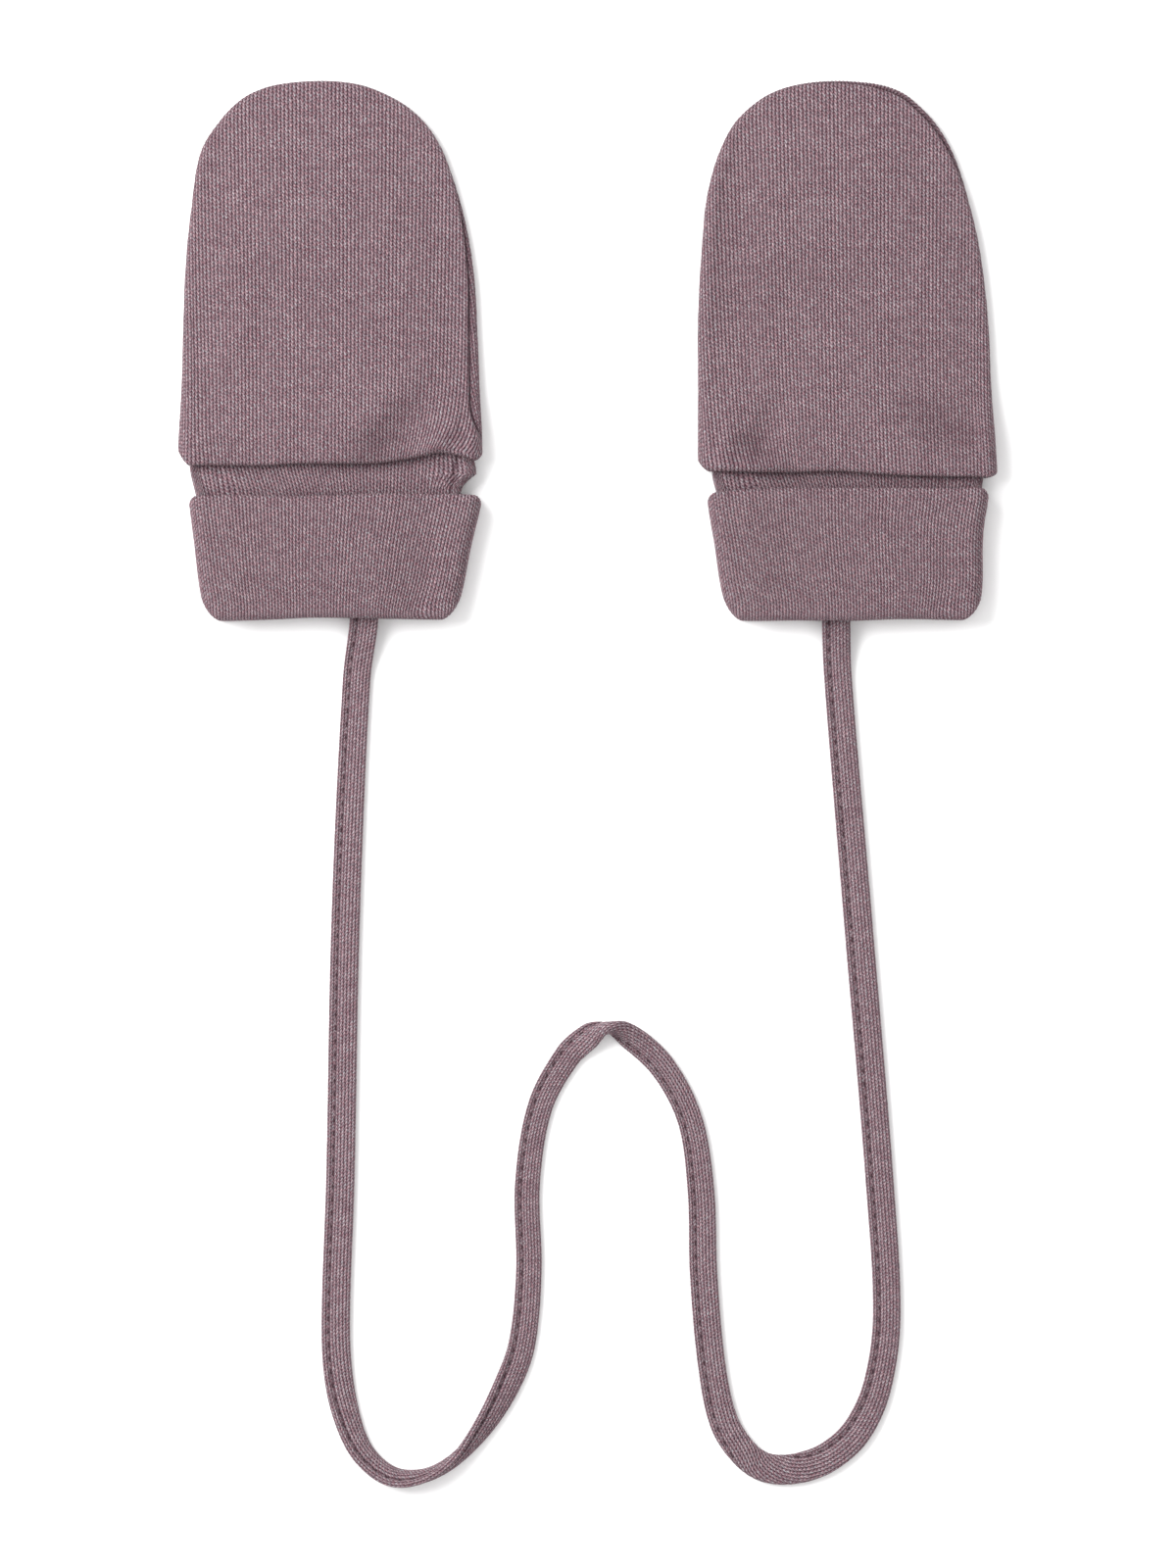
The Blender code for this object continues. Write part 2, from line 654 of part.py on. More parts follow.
def make_cuff(body, material):
    """The doubled cuff: an inner wall from the wrist seam down, folded out and turned up."""
    mitten = body.mitten
    columns, profile = cuff_columns(), cuff_profile()

    def ring(along, out, share, direction):
        """A point round the cuff at some way along and out from the hollow."""
        x, up, angle = direction
        edges = []
        for side in ("left", "right"):
            sign = -1 if side == "left" else 1
            band = float(column(mitten.band, side, "along", along)) - sign * CUFF_WALL
            turned = float(column(mitten.cuff, side, "along", along)) - sign * CUFF_OUTSIDE
            edges.append((1 - share) * band + share * turned)
        half = float(column(HOLLOWS, "half", "along", along)) + out
        centre = float(column(HOLLOWS, "centre", "along", along))
        half = (1 - share) * half + share * (CUFF_HALF - CUFF_OUTSIDE + out)
        centre = (1 - share) * centre + share * CUFF_HALF
        inner = edges[0] + HOLLOW_END, edges[1] - HOLLOW_END
        if angle is None:
            spot = inner[0] + (inner[1] - inner[0]) * (x + 1) / 2
            crown = share * CUFF_CROWN * (1 - x * x) if up > 0 else 0.0
            return np.array([spot, along, centre + up * half + crown])
        end = inner[0] if x < 0 else inner[1]
        reach = (HOLLOW_END + out) * math.cos(angle)
        return np.array([end + x * reach, along, centre + half * math.sin(angle)])

    def limits(direction):
        """The lower fold, the turn-up's edge and the wrist seam, for one direction."""
        outer = ring(CUFF_MIDDLE, CUFF_OUTSIDE, 1.0, direction)[0]
        ends = [float(column(mitten.cuff, side, "along", CUFF_MIDDLE)) for side in ("left", "right")]
        away = min(outer - ends[0], ends[1] - outer)
        low = float(column(mitten.hem, "bottom", "across", outer)) + rounded(away, CUFF_CORNER)
        high = float(column(mitten.hem, "top", "across", outer)) - rounded(away, CUFF_TOP_CORNER)
        seam = float(column(mitten.lip, "height", "across", outer)) + SEAM_ABOVE_LIP
        return low, high, seam

    points = []
    for direction in columns:
        low, high, seam = limits(direction)
        start = low + CUFF_FOLD
        for kind, way, out, share in profile:
            along = {
                "inner": start + (seam - start) * way,
                "fold": start + way,
                "turn": start + (high - CUFF_WALL / 2 - start) * way,
                "end": high - CUFF_WALL / 2 + way,
            }[kind]
            points.append(ring(along, out, share, direction))

    count, around = len(profile), len(columns)
    faces = []
    for c in range(around):
        for p in range(count):
            a, b = c * count, (c + 1) % around * count
            q = (p + 1) % count
            faces.append([a + p, b + p, b + q, a + q])
    points = [p + np.array(placed(mitten)) for p in points]
    return mesh_object(f"{mitten.name}_cuff", points, faces, material)


def make_cord(material):
    """The flat cord, turned over where its route says so."""
    ways = [math.hypot(b.across - a.across, b.up - a.up) for a, b in zip(CORD_ROUTE, CORD_ROUTE[1:])]
    keys = np.concatenate([[0], np.cumsum(ways)])
    places = [0.0]
    for start, way in zip(keys, ways):
        steps = max(2, round(way / CORD_STEP))
        places += [start + way * k / steps for k in range(1, steps + 1)]
    rows = zip(*CORD_ROUTE)
    x, y, roll, size, lift = (smooth(keys, row, places) for row in rows)
    roll = np.radians(roll)
    half = size * (CORD_THICKNESS + (CORD_WIDTH - CORD_THICKNESS) * np.abs(np.sin(roll))) / 2
    curve = bpy.data.curves.new("cord", "CURVE")
    curve.dimensions = "3D"
    curve.twist_mode = "Z_UP"
    spline = curve.splines.new("POLY")
    spline.points.add(len(places) - 1)
    for i, point in enumerate(spline.points):
        height = max(lift[i], ON_TABLE) + half[i]
        point.co = (x[i] * MM, y[i] * MM, height * MM, 1)
        point.tilt = math.pi / 2 - roll[i]
        point.radius = size[i]
    curve.extrude = (CORD_WIDTH - CORD_THICKNESS) / 2 * MM
    curve.bevel_depth = CORD_THICKNESS / 2 * MM
    curve.bevel_resolution = 2
    curve.use_fill_caps = True
    curve.materials.append(material)
    made = bpy.data.objects.new("cord", curve)
    bpy.context.scene.collection.objects.link(made)
    return made


def cloth_material(name, colour):
    material = bpy.data.materials.new(name)
    material.use_nodes = True
    shader = material.node_tree.nodes["Principled BSDF"]
    shader.inputs["Base Color"].default_value = (*colour, 1)
    shader.inputs["Roughness"].default_value = 0.9
    shader.inputs["Metallic"].default_value = 0.0
    material.diffuse_color = (*colour, 1)
    return material


def main():
    for old in list(bpy.data.objects):
        bpy.data.objects.remove(old)
    jersey = cloth_material("mauve_wool_jersey", (0.27, 0.19, 0.21))
    binding = cloth_material("mauve_cord_binding", (0.28, 0.20, 0.22))
    for mitten in (LEFT, RIGHT):
        body = Body(mitten)
        for panel in ("front", "back"):
            make_panel(body, panel, jersey)
        make_cuff(body, jersey)
    make_cord(binding)


main()
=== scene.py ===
"""The looks of a pair of knitted baby mittens that lie flat, tied together by a flat stitched cord.

Sizes are in millimetres, and MM turns one into metres. X runs across the pair, Y from the cuffs to
the fingertips, and Z up from the surface they lie on. "Along" is measured up a mitten from the lower
fold of its cuff, "across" from the mitten's own middle line, and "depth" inwards from the outer face
of the cloth. A wale is a column of knit stitches and a course is a row of them. Each piece carries
its place in the knitting, in wales and courses, in the UV map named KNIT.
"""

import math
from collections import namedtuple

import bpy
import numpy as np
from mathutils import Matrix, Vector, noise


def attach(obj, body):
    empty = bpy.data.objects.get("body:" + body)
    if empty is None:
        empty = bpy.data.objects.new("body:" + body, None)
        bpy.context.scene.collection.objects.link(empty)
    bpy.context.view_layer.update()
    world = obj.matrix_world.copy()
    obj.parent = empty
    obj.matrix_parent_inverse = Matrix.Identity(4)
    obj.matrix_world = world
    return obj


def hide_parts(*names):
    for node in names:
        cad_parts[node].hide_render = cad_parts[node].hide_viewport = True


bl_info = {
    "name": "Baby Mittens",
    "version": (1, 0, 0),
    "blender": (4, 5, 0),
    "location": "View3D > Sidebar > Mittens",
    "description": "Knitted baby mittens with turned-up cuffs on a flat stitched cord",
    "category": "Object",
}

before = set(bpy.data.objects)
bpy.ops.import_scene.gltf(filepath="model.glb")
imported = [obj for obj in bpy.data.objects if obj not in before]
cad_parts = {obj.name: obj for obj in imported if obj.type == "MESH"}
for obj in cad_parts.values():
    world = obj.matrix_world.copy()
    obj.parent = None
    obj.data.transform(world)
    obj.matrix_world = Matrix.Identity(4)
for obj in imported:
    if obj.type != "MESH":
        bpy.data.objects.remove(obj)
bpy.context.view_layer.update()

MM = 0.001

# Names of the layers that carry the place in the knitting, and the yarn's painted shade and the painted
# shading of its gathered wales
KNIT = "knit"
PAINTED_SHADING = "marks"

# Driving sizes. The wall of a hand part is the room for its cloth, which is thinner, and two panels
# that are sewn together keep SEAM_CLOSED between them.
MITTEN_LENGTH = 118.9
MITTENS_APART = 112.8
BODY_WALL = 1.0
BODY_CLOTH = 0.8
CUFF_WALL = 1.5
SEAM_GAP = 0.3
SEAM_CLOSED = 0.02
CORD_THICKNESS = 2.6

# The knitting: the width of a wale and the height of a course
WALE = 0.82
COURSE = 0.87
CUFF_COURSE = 0.87
CORD_COURSE = 0.80
COLUMNS_PER_WALE = 4

# The hand part is turned under at the wrist, and its turned-in edge is sewn to the cuff: radius of
# the fold, width of the turned-in edge, where the seam lies, and reach of the lip's rounded corners
BODY_FOLD = BODY_WALL + SEAM_GAP / 2
TURNED_IN = 2.2
SEAM_ABOVE_LIP = 3.2
CORNER_REACH = 2.5

# How deep the side seams draw the cloth in and how far that reaches, from what angle on a seam
# counts as lying on top, and how deep the painted shade on the yarn is in a seam and in a trough
SEAM_DIP = 1.0
SIDE_SEAM_DIP = 0.35
SEAM_RUN = 0.6
SEAM_ON_TOP = math.radians(40)
SIDE_SHADE = 0.3
SHADE_RUN = 0.6
TROUGH_SHADE = 0.17

# From what lean on the wales are fully gathered, and how far a lean carries the courses along
LEANING = 2.0
COURSE_TURN = -0.35

# The turned-up cuff: two walls with a gap between them, round a flat hollow. Half its height, its
# fold and thickness, its rounded corners, its crown, where its width is measured, and the ends of
# the hollow
CUFF_HALF = 4.9
CUFF_FOLD = CUFF_WALL + SEAM_GAP / 2
CUFF_OUTSIDE = 2 * CUFF_WALL + SEAM_GAP
CUFF_CORNER = 4.2
CUFF_TOP_CORNER = 1.6
CUFF_CROWN = 0.8
CUFF_MIDDLE = 12.0
HOLLOW_END = 0.6

# How the hand's upper side rises: how far in from its edge it is fully crowned, how far up from the
# wrist seam troughs reach their depth, and how wide a border stays free of folds
CROWN_REACH = 16.0
TROUGH_RUN = 3.0
EDGE_CALM = 2.0

# How finely the pieces are divided, where the hand's sides end and its tip begins, and how much a
# steep stretch counts when the wales are spaced over the tip. NEAREST_BLOCK places are looked up at
# a time.
HAND_WALES = 75
HAND_ROWS = {"front": 72, "back": 30}
HAND_CROWDING = {"front": 1.15, "back": 1.2}
ROLL_STEPS = {"front": 28, "back": 48}
ROLL_SAMPLES = 64
OUTLINE_SAMPLES = 1200
SIDE_TOP = 62.0
STEEP_SHARE = 0.04
FOLD_STEPS = 8
TURNED_IN_STEPS = 2
CUFF_WALES = 72
CUFF_END_WALES = 16
SEAM_TO_FOLD_STEPS = 9
LOWER_FOLD_STEPS = 15
TURN_UP_STEPS = 15
HEM_STEPS = 9
UNDER_TURN_UP_STEPS = 4
NEAREST_BLOCK = 500
INNER_WALL_ROWS = (0, 0.3, 0.52, 0.64, 0.68, 0.72, 0.76, 0.8, 0.84, 0.88, 0.92, 0.96, 1.0)

Side = namedtuple("Side", "along left right")
Wave = namedtuple("Wave", "across height")
Seam = namedtuple("Seam", "along left right")
Level = namedtuple("Level", "along edge roll middle")
Hollow = namedtuple("Hollow", "along half centre")
Hem = namedtuple("Hem", "across top bottom")
Fold = namedtuple("Fold", "across along direction length width height")
Lean = namedtuple("Lean", "across left right reach shift")
Mitten = namedtuple(
    "Mitten",
    "name middle corner sides lip lip_shade seams band cuff hem"
    " folds cuff_folds leans band_leans cuff_leans groove",
)
Stop = namedtuple("Stop", "across up roll size lift puff")
Rib = namedtuple("Rib", "edge half")


def table(kind, *rows):
    """Rows of one kind."""
    return tuple(kind(*row) for row in rows)


# Height of the hand part over its length: at its edge, width of the rounded edge, at its middle
LEVELS = table(
    Level, (30.0, 9.0, 2.9, 9.1), (41.0, 9.0, 2.9, 9.1), (46.5, 7.0, 2.7, 8.0),
    (53.0, 5.2, 2.4, 6.6), (61.0, 4.4, 2.2, 5.9), (78.0, 4.2, 2.1, 5.8), (94.0, 4.0, 2.0, 5.5),
    (106.0, 3.8, 1.9, 4.9), (114.0, 3.6, 1.8, 4.2), (118.9, 3.5, 1.7, 3.6),
)

# The flat hollow inside the cuff: half its height, and how high its middle lies
HOLLOWS = table(
    Hollow, (0.0, 1.6, 4.9), (19.0, 1.6, 4.9), (25.0, 1.3, 4.8), (29.0, 0.8, 4.6),
    (33.0, 0.4, 4.5), (42.0, 0.4, 4.5),
)

LEFT = Mitten(
    name="left",
    middle=-MITTENS_APART / 2,
    # how far the lip rises in its left and right corner
    corner=(2.6, 1.4),
    # outline of the hand part, from the wrist up to the tip
    sides=table(
        Side, (29.0, -33.6, 33.6), (37.3, -33.5, 33.5), (50.2, -32.9, 32.8), (63.1, -32.6, 32.3),
        (73.4, -32.3, 31.8), (83.7, -31.6, 30.5), (91.5, -30.7, 28.8), (99.2, -29.7, 26.4),
        (104.4, -28.2, 24.3), (109.5, -24.9, 20.9), (113.4, -21.4, 16.6), (116.2, -17.4, 11.6),
        (118.1, -11.6, 6.2), (118.9, -1.9, -1.9),
    ),
    # lower edge of the hand part
    lip=table(
        Wave, (-31.2, 34.1), (-14.4, 33.9), (-8.4, 34.3), (9.2, 34.4), (16.1, 35.2), (21.1, 36.2),
        (23.7, 36.7), (27.5, 36.3), (31.0, 35.4), (33.1, 34.6),
    ),
    # how deep the painted shade under that edge is
    lip_shade=table(
        Wave, (-31.0, 0.05), (-6.0, 0.05), (1.0, 0.4), (12.0, 0.4), (17.0, 0.15), (33.0, 0.2),
    ),
    # where the side seams run, in degrees up from the widest point of the edge
    seams=table(
        Seam, (30.0, -12, 0), (39.5, -12, 6), (42.3, -12, 42), (46.5, -12, 74), (60.0, -12, 78),
        (72.0, -12, 62), (84.0, -12, 40), (97.0, -10, 10), (108.0, -5, 0), (118.9, 0, 0),
    ),
    # outer face of the cuff's inner wall, which shows between hand and turn-up
    band=table(
        Side, (0.0, -26.3, 26.4), (8.9, -27.2, 27.7), (16.7, -28.1, 29.2), (22.0, -28.8, 30.2),
        (26.0, -29.2, 29.2), (28.7, -29.8, 28.7), (30.6, -30.3, 30.0), (32.4, -30.7, 32.1),
        (34.4, -30.9, 31.7), (41.0, -30.9, 30.8),
    ),
    # outer face of the turned-up wall
    cuff=table(
        Side, (0.0, -28.1, 28.2), (3.8, -28.2, 28.4), (8.9, -29.0, 29.5), (16.7, -29.9, 31.0),
        (25.5, -31.0, 33.1), (29.0, -31.3, 33.6),
    ),
    # upper edge of the turn-up and lower fold
    hem=table(
        Hem, (-31.0, 27.4, 0.0), (-23.2, 27.5, 0.0), (-13.3, 27.3, 0.3), (-3.4, 27.4, 0.7),
        (11.4, 28.0, 0.5), (23.6, 27.8, 0.3), (33.0, 27.5, 0.2),
    ),
    # soft folds of the upper side: a ridge is above zero and a trough below
    folds=table(
        Fold, (25.0, 41.0, 50, 7.5, 2.6, 1.3), (29.0, 45.0, 82, 7.0, 1.3, -0.6),
        (15.0, 43.5, 47, 11.0, 3.4, -2.2), (8.0, 37.5, 12, 6.5, 3.0, -1.9),
        (7.0, 36.5, 8, 8.0, 1.8, 0.7), (-26.0, 51.0, 52, 8.0, 2.6, -0.8),
        (-22.5, 56.0, 66, 13.0, 2.6, 0.8), (-27.0, 39.5, 12, 5.0, 1.3, 0.5),
        (4.0, 70.0, 172, 16.0, 5.0, -0.4), (-9.0, 90.0, 15, 14.0, 6.0, 0.4),
    ),
    # soft folds of the turn-up
    cuff_folds=table(
        Fold, (-24.0, 14.0, 90, 16.0, 5.0, 0.5), (19.0, 14.0, 84, 16.0, 5.5, -0.8),
        (-4.0, 6.0, 4, 26.0, 3.0, -0.2),
    ),
    # how far the wales lean to one side at the lip, fading upwards
    leans=table(
        Lean, (26.5, 10.0, 40.0, 5.4, -5.2), (-26.0, 5.0, 5.0, 9.0, 0.9),
    ),
    band_leans=(Lean(-12.0, 16.0, 16.0, 8.0, 2.0),),
    cuff_leans=(Lean(20.0, 9.0, 9.0, 6.0, -1.6),),
    # the inner wall's own seam: two places on it, across and along
    groove=((26.4, 28.1), (27.7, 35.6)),
)

RIGHT = Mitten(
    name="right",
    middle=MITTENS_APART / 2,
    corner=(1.5, 0.3),
    sides=table(
        Side, (29.0, -32.2, 33.7), (37.3, -32.3, 33.3), (50.2, -32.3, 32.4), (63.1, -32.4, 31.9),
        (73.4, -32.1, 31.0), (83.7, -31.4, 29.5), (91.5, -30.7, 27.7), (99.2, -29.0, 25.4),
        (104.4, -27.1, 23.2), (109.5, -24.3, 20.0), (113.4, -20.4, 16.3), (116.2, -16.1, 12.7),
        (118.1, -10.3, 7.3), (118.9, -1.7, -1.7),
    ),
    lip=table(
        Wave, (-30.0, 32.8), (-13.3, 32.4), (-1.3, 32.7), (6.5, 32.1), (14.0, 31.7), (22.4, 31.5),
        (31.8, 31.5),
    ),
    lip_shade=table(
        Wave, (-30.0, 0.0), (-25.0, 0.0), (-21.5, 0.5), (-14.5, 0.5), (-9.0, 0.15), (31.8, 0.2),
    ),
    seams=table(
        Seam, (30.0, -12, -12), (78.0, -12, -12), (90.0, -12, 0), (99.0, -12, 25),
        (108.0, -10, 45), (114.0, -5, 52), (117.8, 5, 50), (118.9, 30, 30),
    ),
    band=table(
        Side, (0.0, -24.6, 28.0), (8.9, -25.7, 28.5), (16.7, -26.8, 28.5), (22.0, -27.7, 28.9),
        (26.0, -28.0, 29.4), (28.3, -28.2, 30.0), (30.0, -28.7, 30.2), (32.1, -29.1, 30.5),
        (41.0, -29.4, 30.7),
    ),
    cuff=table(
        Side, (0.0, -26.4, 29.8), (3.8, -26.5, 29.9), (8.9, -27.5, 30.3), (16.7, -28.6, 30.3),
        (21.8, -29.5, 30.7), (26.5, -30.2, 31.5), (30.0, -30.6, 31.7),
    ),
    hem=table(
        Hem, (-29.5, 27.9, 0.1), (-20.0, 28.7, 0.0), (-12.0, 29.1, 0.1), (0.0, 29.1, 0.0),
        (13.0, 29.1, 0.4), (24.0, 29.2, 0.2), (31.5, 29.2, 0.1),
    ),
    folds=table(
        Fold, (-25.5, 41.0, 78, 10.0, 2.4, 1.0), (-18.5, 40.0, 66, 10.0, 3.2, -1.5),
        (-12.0, 42.0, 66, 10.0, 3.0, 0.6), (-17.5, 35.5, 5, 5.0, 4.0, -1.2),
        (-17.0, 34.0, 5, 6.0, 1.8, 0.7), (22.0, 43.0, 152, 11.0, 5.0, -2.2),
        (23.0, 73.0, 95, 20.0, 5.0, 0.8), (-25.0, 76.0, 91, 30.0, 4.5, -1.0),
        (-6.0, 74.0, 12, 16.0, 6.0, -0.4), (6.0, 98.0, 160, 12.0, 5.0, 0.4),
    ),
    cuff_folds=table(
        Fold, (-24.0, 14.0, 90, 16.0, 4.5, 0.7), (-14.0, 14.0, 90, 16.0, 5.0, -0.5),
        (24.0, 14.0, 90, 16.0, 6.0, -0.4),
    ),
    leans=table(
        Lean, (-20.0, 12.0, 11.0, 9.0, 2.6), (14.0, 9.0, 9.0, 10.0, 0.8),
    ),
    band_leans=(Lean(-14.0, 14.0, 16.0, 8.0, 2.2),),
    cuff_leans=(Lean(22.0, 8.0, 8.0, 6.0, -1.0),),
    groove=None,
)

# The cord's route, from inside the left cuff to inside the right one. "Roll" turns the cord over:
# its sewn edge points to the right of the way at 0, up at 90 and to the left at 180 degrees.
# "Size" is the share of its full width, "lift" the height of its lowest point, and "puff" how far
# it lies on the table as a soft flat oval, round which its sewn edge travels as the cord turns over.
ON_TABLE = 0.05
IN_CUFF = CUFF_HALF - CORD_THICKNESS / 2
CORD_ROUTE = table(
    Stop, (-49.0, -47.5, 0, 1.00, IN_CUFF, 0.0), (-49.0, -59.0, 0, 1.00, IN_CUFF, 0.0),
    (-50.7, -72.0, 0, 0.97, ON_TABLE, 0.0), (-53.1, -124.0, 0, 1.00, ON_TABLE, 0.0),
    (-54.3, -182.0, 0, 1.00, ON_TABLE, 0.0), (-55.3, -213.5, 3, 1.00, ON_TABLE, 0.0),
    (-54.6, -226.0, 14, 1.00, ON_TABLE, 0.0), (-52.2, -236.2, 34, 1.00, ON_TABLE, 0.1),
    (-48.9, -242.8, 48, 1.00, ON_TABLE, 0.2), (-43.0, -247.3, 58, 1.00, ON_TABLE, 0.2),
    (-36.0, -247.2, 78, 1.00, ON_TABLE, 0.1), (-29.4, -243.6, 98, 1.00, ON_TABLE, 0.1),
    (-23.6, -237.1, 124, 1.00, ON_TABLE, 0.0), (-18.4, -228.6, 148, 1.00, ON_TABLE, 0.0),
    (-14.5, -218.5, 168, 0.94, ON_TABLE, 0.0), (-12.9, -202.0, 180, 0.90, ON_TABLE, 0.0),
    (-13.2, -183.0, 180, 0.88, ON_TABLE, 0.0), (-10.4, -166.0, 180, 0.88, ON_TABLE, 0.0),
    (-4.4, -154.9, 182, 0.92, ON_TABLE, 0.0), (0.5, -150.4, 212, 0.96, ON_TABLE, 0.0),
    (2.4, -149.15, 240, 1.0, ON_TABLE, 0.0), (4.4, -148.7, 270, 1.12, ON_TABLE, 0.0),
    (8.9, -150.4, 326, 0.96, ON_TABLE, 0.0), (16.6, -157.5, 358, 0.91, ON_TABLE, 0.0),
    (22.5, -169.0, 360, 0.88, ON_TABLE, 0.0), (24.9, -184.5, 360, 0.94, ON_TABLE, 0.0),
    (25.5, -203.0, 360, 0.97, ON_TABLE, 0.0), (27.3, -223.0, 360, 0.97, ON_TABLE, 0.0),
    (30.0, -235.4, 354, 1.00, ON_TABLE, 0.3), (34.6, -242.4, 334, 1.00, ON_TABLE, 0.9),
    (39.4, -245.4, 262, 1.00, ON_TABLE, 1.0), (46.0, -245.5, 202, 1.04, ON_TABLE, 0.9),
    (53.0, -242.9, 187, 1.05, ON_TABLE, 0.3), (59.2, -237.2, 182, 1.05, ON_TABLE, 0.0),
    (63.6, -227.5, 180, 1.00, ON_TABLE, 0.0), (65.7, -212.0, 180, 0.97, ON_TABLE, 0.0),
    (64.1, -182.0, 180, 0.98, ON_TABLE, 0.0), (59.3, -124.0, 180, 1.00, ON_TABLE, 0.0),
    (55.0, -72.0, 180, 0.97, ON_TABLE, 0.0), (54.5, -59.0, 180, 1.00, IN_CUFF, 0.0),
    (54.5, -47.5, 180, 1.00, IN_CUFF, 0.0),
)

# Half the width and half the height of the soft flat oval, and how blunt its ends are
OVAL = (3.25, 1.3)
OVAL_FLATNESS = 0.6
OVAL_SAMPLES = 720

# Half the cord's thickness across its width, from its folded edge to its sewn edge
CORD_SECTION = table(
    Rib, (-3.22, 0.0), (-3.10, 0.50), (-2.80, 0.86), (-2.30, 1.12), (-1.50, 1.27), (-0.70, 1.30),
    (0.10, 1.24), (0.70, 1.08), (1.20, 0.80), (1.50, 0.54), (1.70, 0.44), (1.92, 0.54),
    (2.20, 0.72), (2.60, 0.76), (2.95, 0.64), (3.15, 0.36), (3.22, 0.0),
)
CORD_WALES = 20
CORD_RIB_SHARE = 0.8

# The stitches along the cord: how far from its middle they run, how deep each one pulls the cloth in
# and how far that reaches, how deep the painted shade on the yarn lies there, how far that reaches and
# how much it fades between two stitches, and the width over which a stitch finds the surface
STITCH_LINE = 1.7
STITCH_DIP = 0.18
STITCH_DIP_RUN = 0.5
GROOVE_SHADE = 0.8
GROOVE_RUN = 0.29
GROOVE_FADE = 0.25
STITCH_SPOT = 0.12
STATIONS_PER_STITCH = 4

# A stitch is left out where it would touch the table or lie on the cord's side
CLEAR_OF_TABLE = 0.45
STITCH_FACING = 0.45

# The hand part's outline is read round the tip as a turn of an ellipse that starts at BASE.
BASE = 27.0
RISE = MITTEN_LENGTH - BASE

# Slow unevenness of the cloth: how wide the dents are, and how deep
DENT_SIZE = 11.0
HAND_DENT = 0.16
CUFF_DENT = 0.10
CUFF_DENT_SEED = 3

# The inner wall above the turn-up: where its wales begin to lean, how far in from its edges the
# bend reaches, and the groove of its own seam, which is sunk and painted in shade
BAND_TOP = 36.0
EDGE_PULL = 6.0
GROOVE_WIDTH = 0.42
GROOVE_DEPTH = 0.6

# How much of the ribs' relief the lower fold stretches flat, and how wide a border at the cuff's
# sides the folds take to reach their depth
FOLD_STRETCH = 0.7
CUFF_CALM = 4.0

# From what share of the way up to the wrist seam the inner wall has ribs, and how soon fully
INNER_RIBS_FROM = 0.4
INNER_RIBS_RISE = 0.2

# How deep the painted shade on the yarn lies under the lip, above the turn-up's edge, along the lower
# fold and towards the wrist, and how far each reaches
LIP_SHADE_RUN = 1.1
HEM_SHADE = 0.3
HEM_SHADE_RUN = 1.3
LOWER_FOLD_SHADE = 0.16
LOWER_FOLD_SHADE_RUN = 1.8
WRIST_SHADE = 0.05
WRIST_SHADE_TOP = 58.0


def smooth(places, values, at):
    """Values at some places on the smooth curve through a table."""
    places, values = np.asarray(places, float), np.asarray(values, float)
    inner = (values[2:] - values[:-2]) / (places[2:] - places[:-2])
    ends = np.diff(values)[[0, -1]] / np.diff(places)[[0, -1]]
    slopes = np.concatenate([ends[:1], inner, ends[1:]])
    at = np.clip(at, places[0], places[-1])
    i = np.clip(np.searchsorted(places, at) - 1, 0, len(places) - 2)
    step = places[i + 1] - places[i]
    t = (at - places[i]) / step
    start = (1 + 2 * t) * (1 - t) ** 2 * values[i] + t * (1 - t) ** 2 * step * slopes[i]
    end = t * t * (3 - 2 * t) * values[i + 1] + t * t * (t - 1) * step * slopes[i + 1]
    return start + end


def column(table, name, at):
    """One column of a table, read along its first column."""
    return smooth([row[0] for row in table], [getattr(row, name) for row in table], at)


def ease(t):
    """A soft step from 0 to 1."""
    t = np.clip(t, 0.0, 1.0)
    return t * t * (3 - 2 * t)


def bell(distance, width):
    """A soft bump: 1 in its middle, fading over its width."""
    return np.exp(-((distance / width) ** 2))


def leaned(lean, across):
    """How far a lean shifts the wales at places across a mitten."""
    distance = across - lean.across
    return lean.shift * bell(distance, np.where(distance < 0, lean.left, lean.right))


def walked(points):
    """How far along a line of points each one lies."""
    return np.concatenate([[0], np.cumsum(np.linalg.norm(np.diff(points, axis=0), axis=-1))])


def turn_at(along):
    """The turn round the tip at which the outline reaches some way along."""
    return np.arccos(np.minimum((along - BASE) / RISE, 1.0))


def dents(points, seed):
    """Slow unevenness from about -0.5 to 0.5, for points in millimetres."""
    spots = (np.asarray(points) / DENT_SIZE).tolist()
    return np.array([noise.noise(Vector((x, y, seed))) for x, y in spots])


def folded(folds, across, along):
    """How far each soft fold raises the cloth at some places, one fold at a time."""
    for fold in folds:
        turn = math.radians(fold.direction)
        x, y = across - fold.across, along - fold.along
        length = (x * math.cos(turn) + y * math.sin(turn)) / fold.length
        width = (y * math.cos(turn) - x * math.sin(turn)) / fold.width
        yield fold.height * np.exp(-(length**2) - width**2)


def placed(mitten):
    """Where a mitten's own origin lies: its middle line and the lower fold of its cuff."""
    return np.array((mitten.middle, -MITTEN_LENGTH / 2, 0.0))


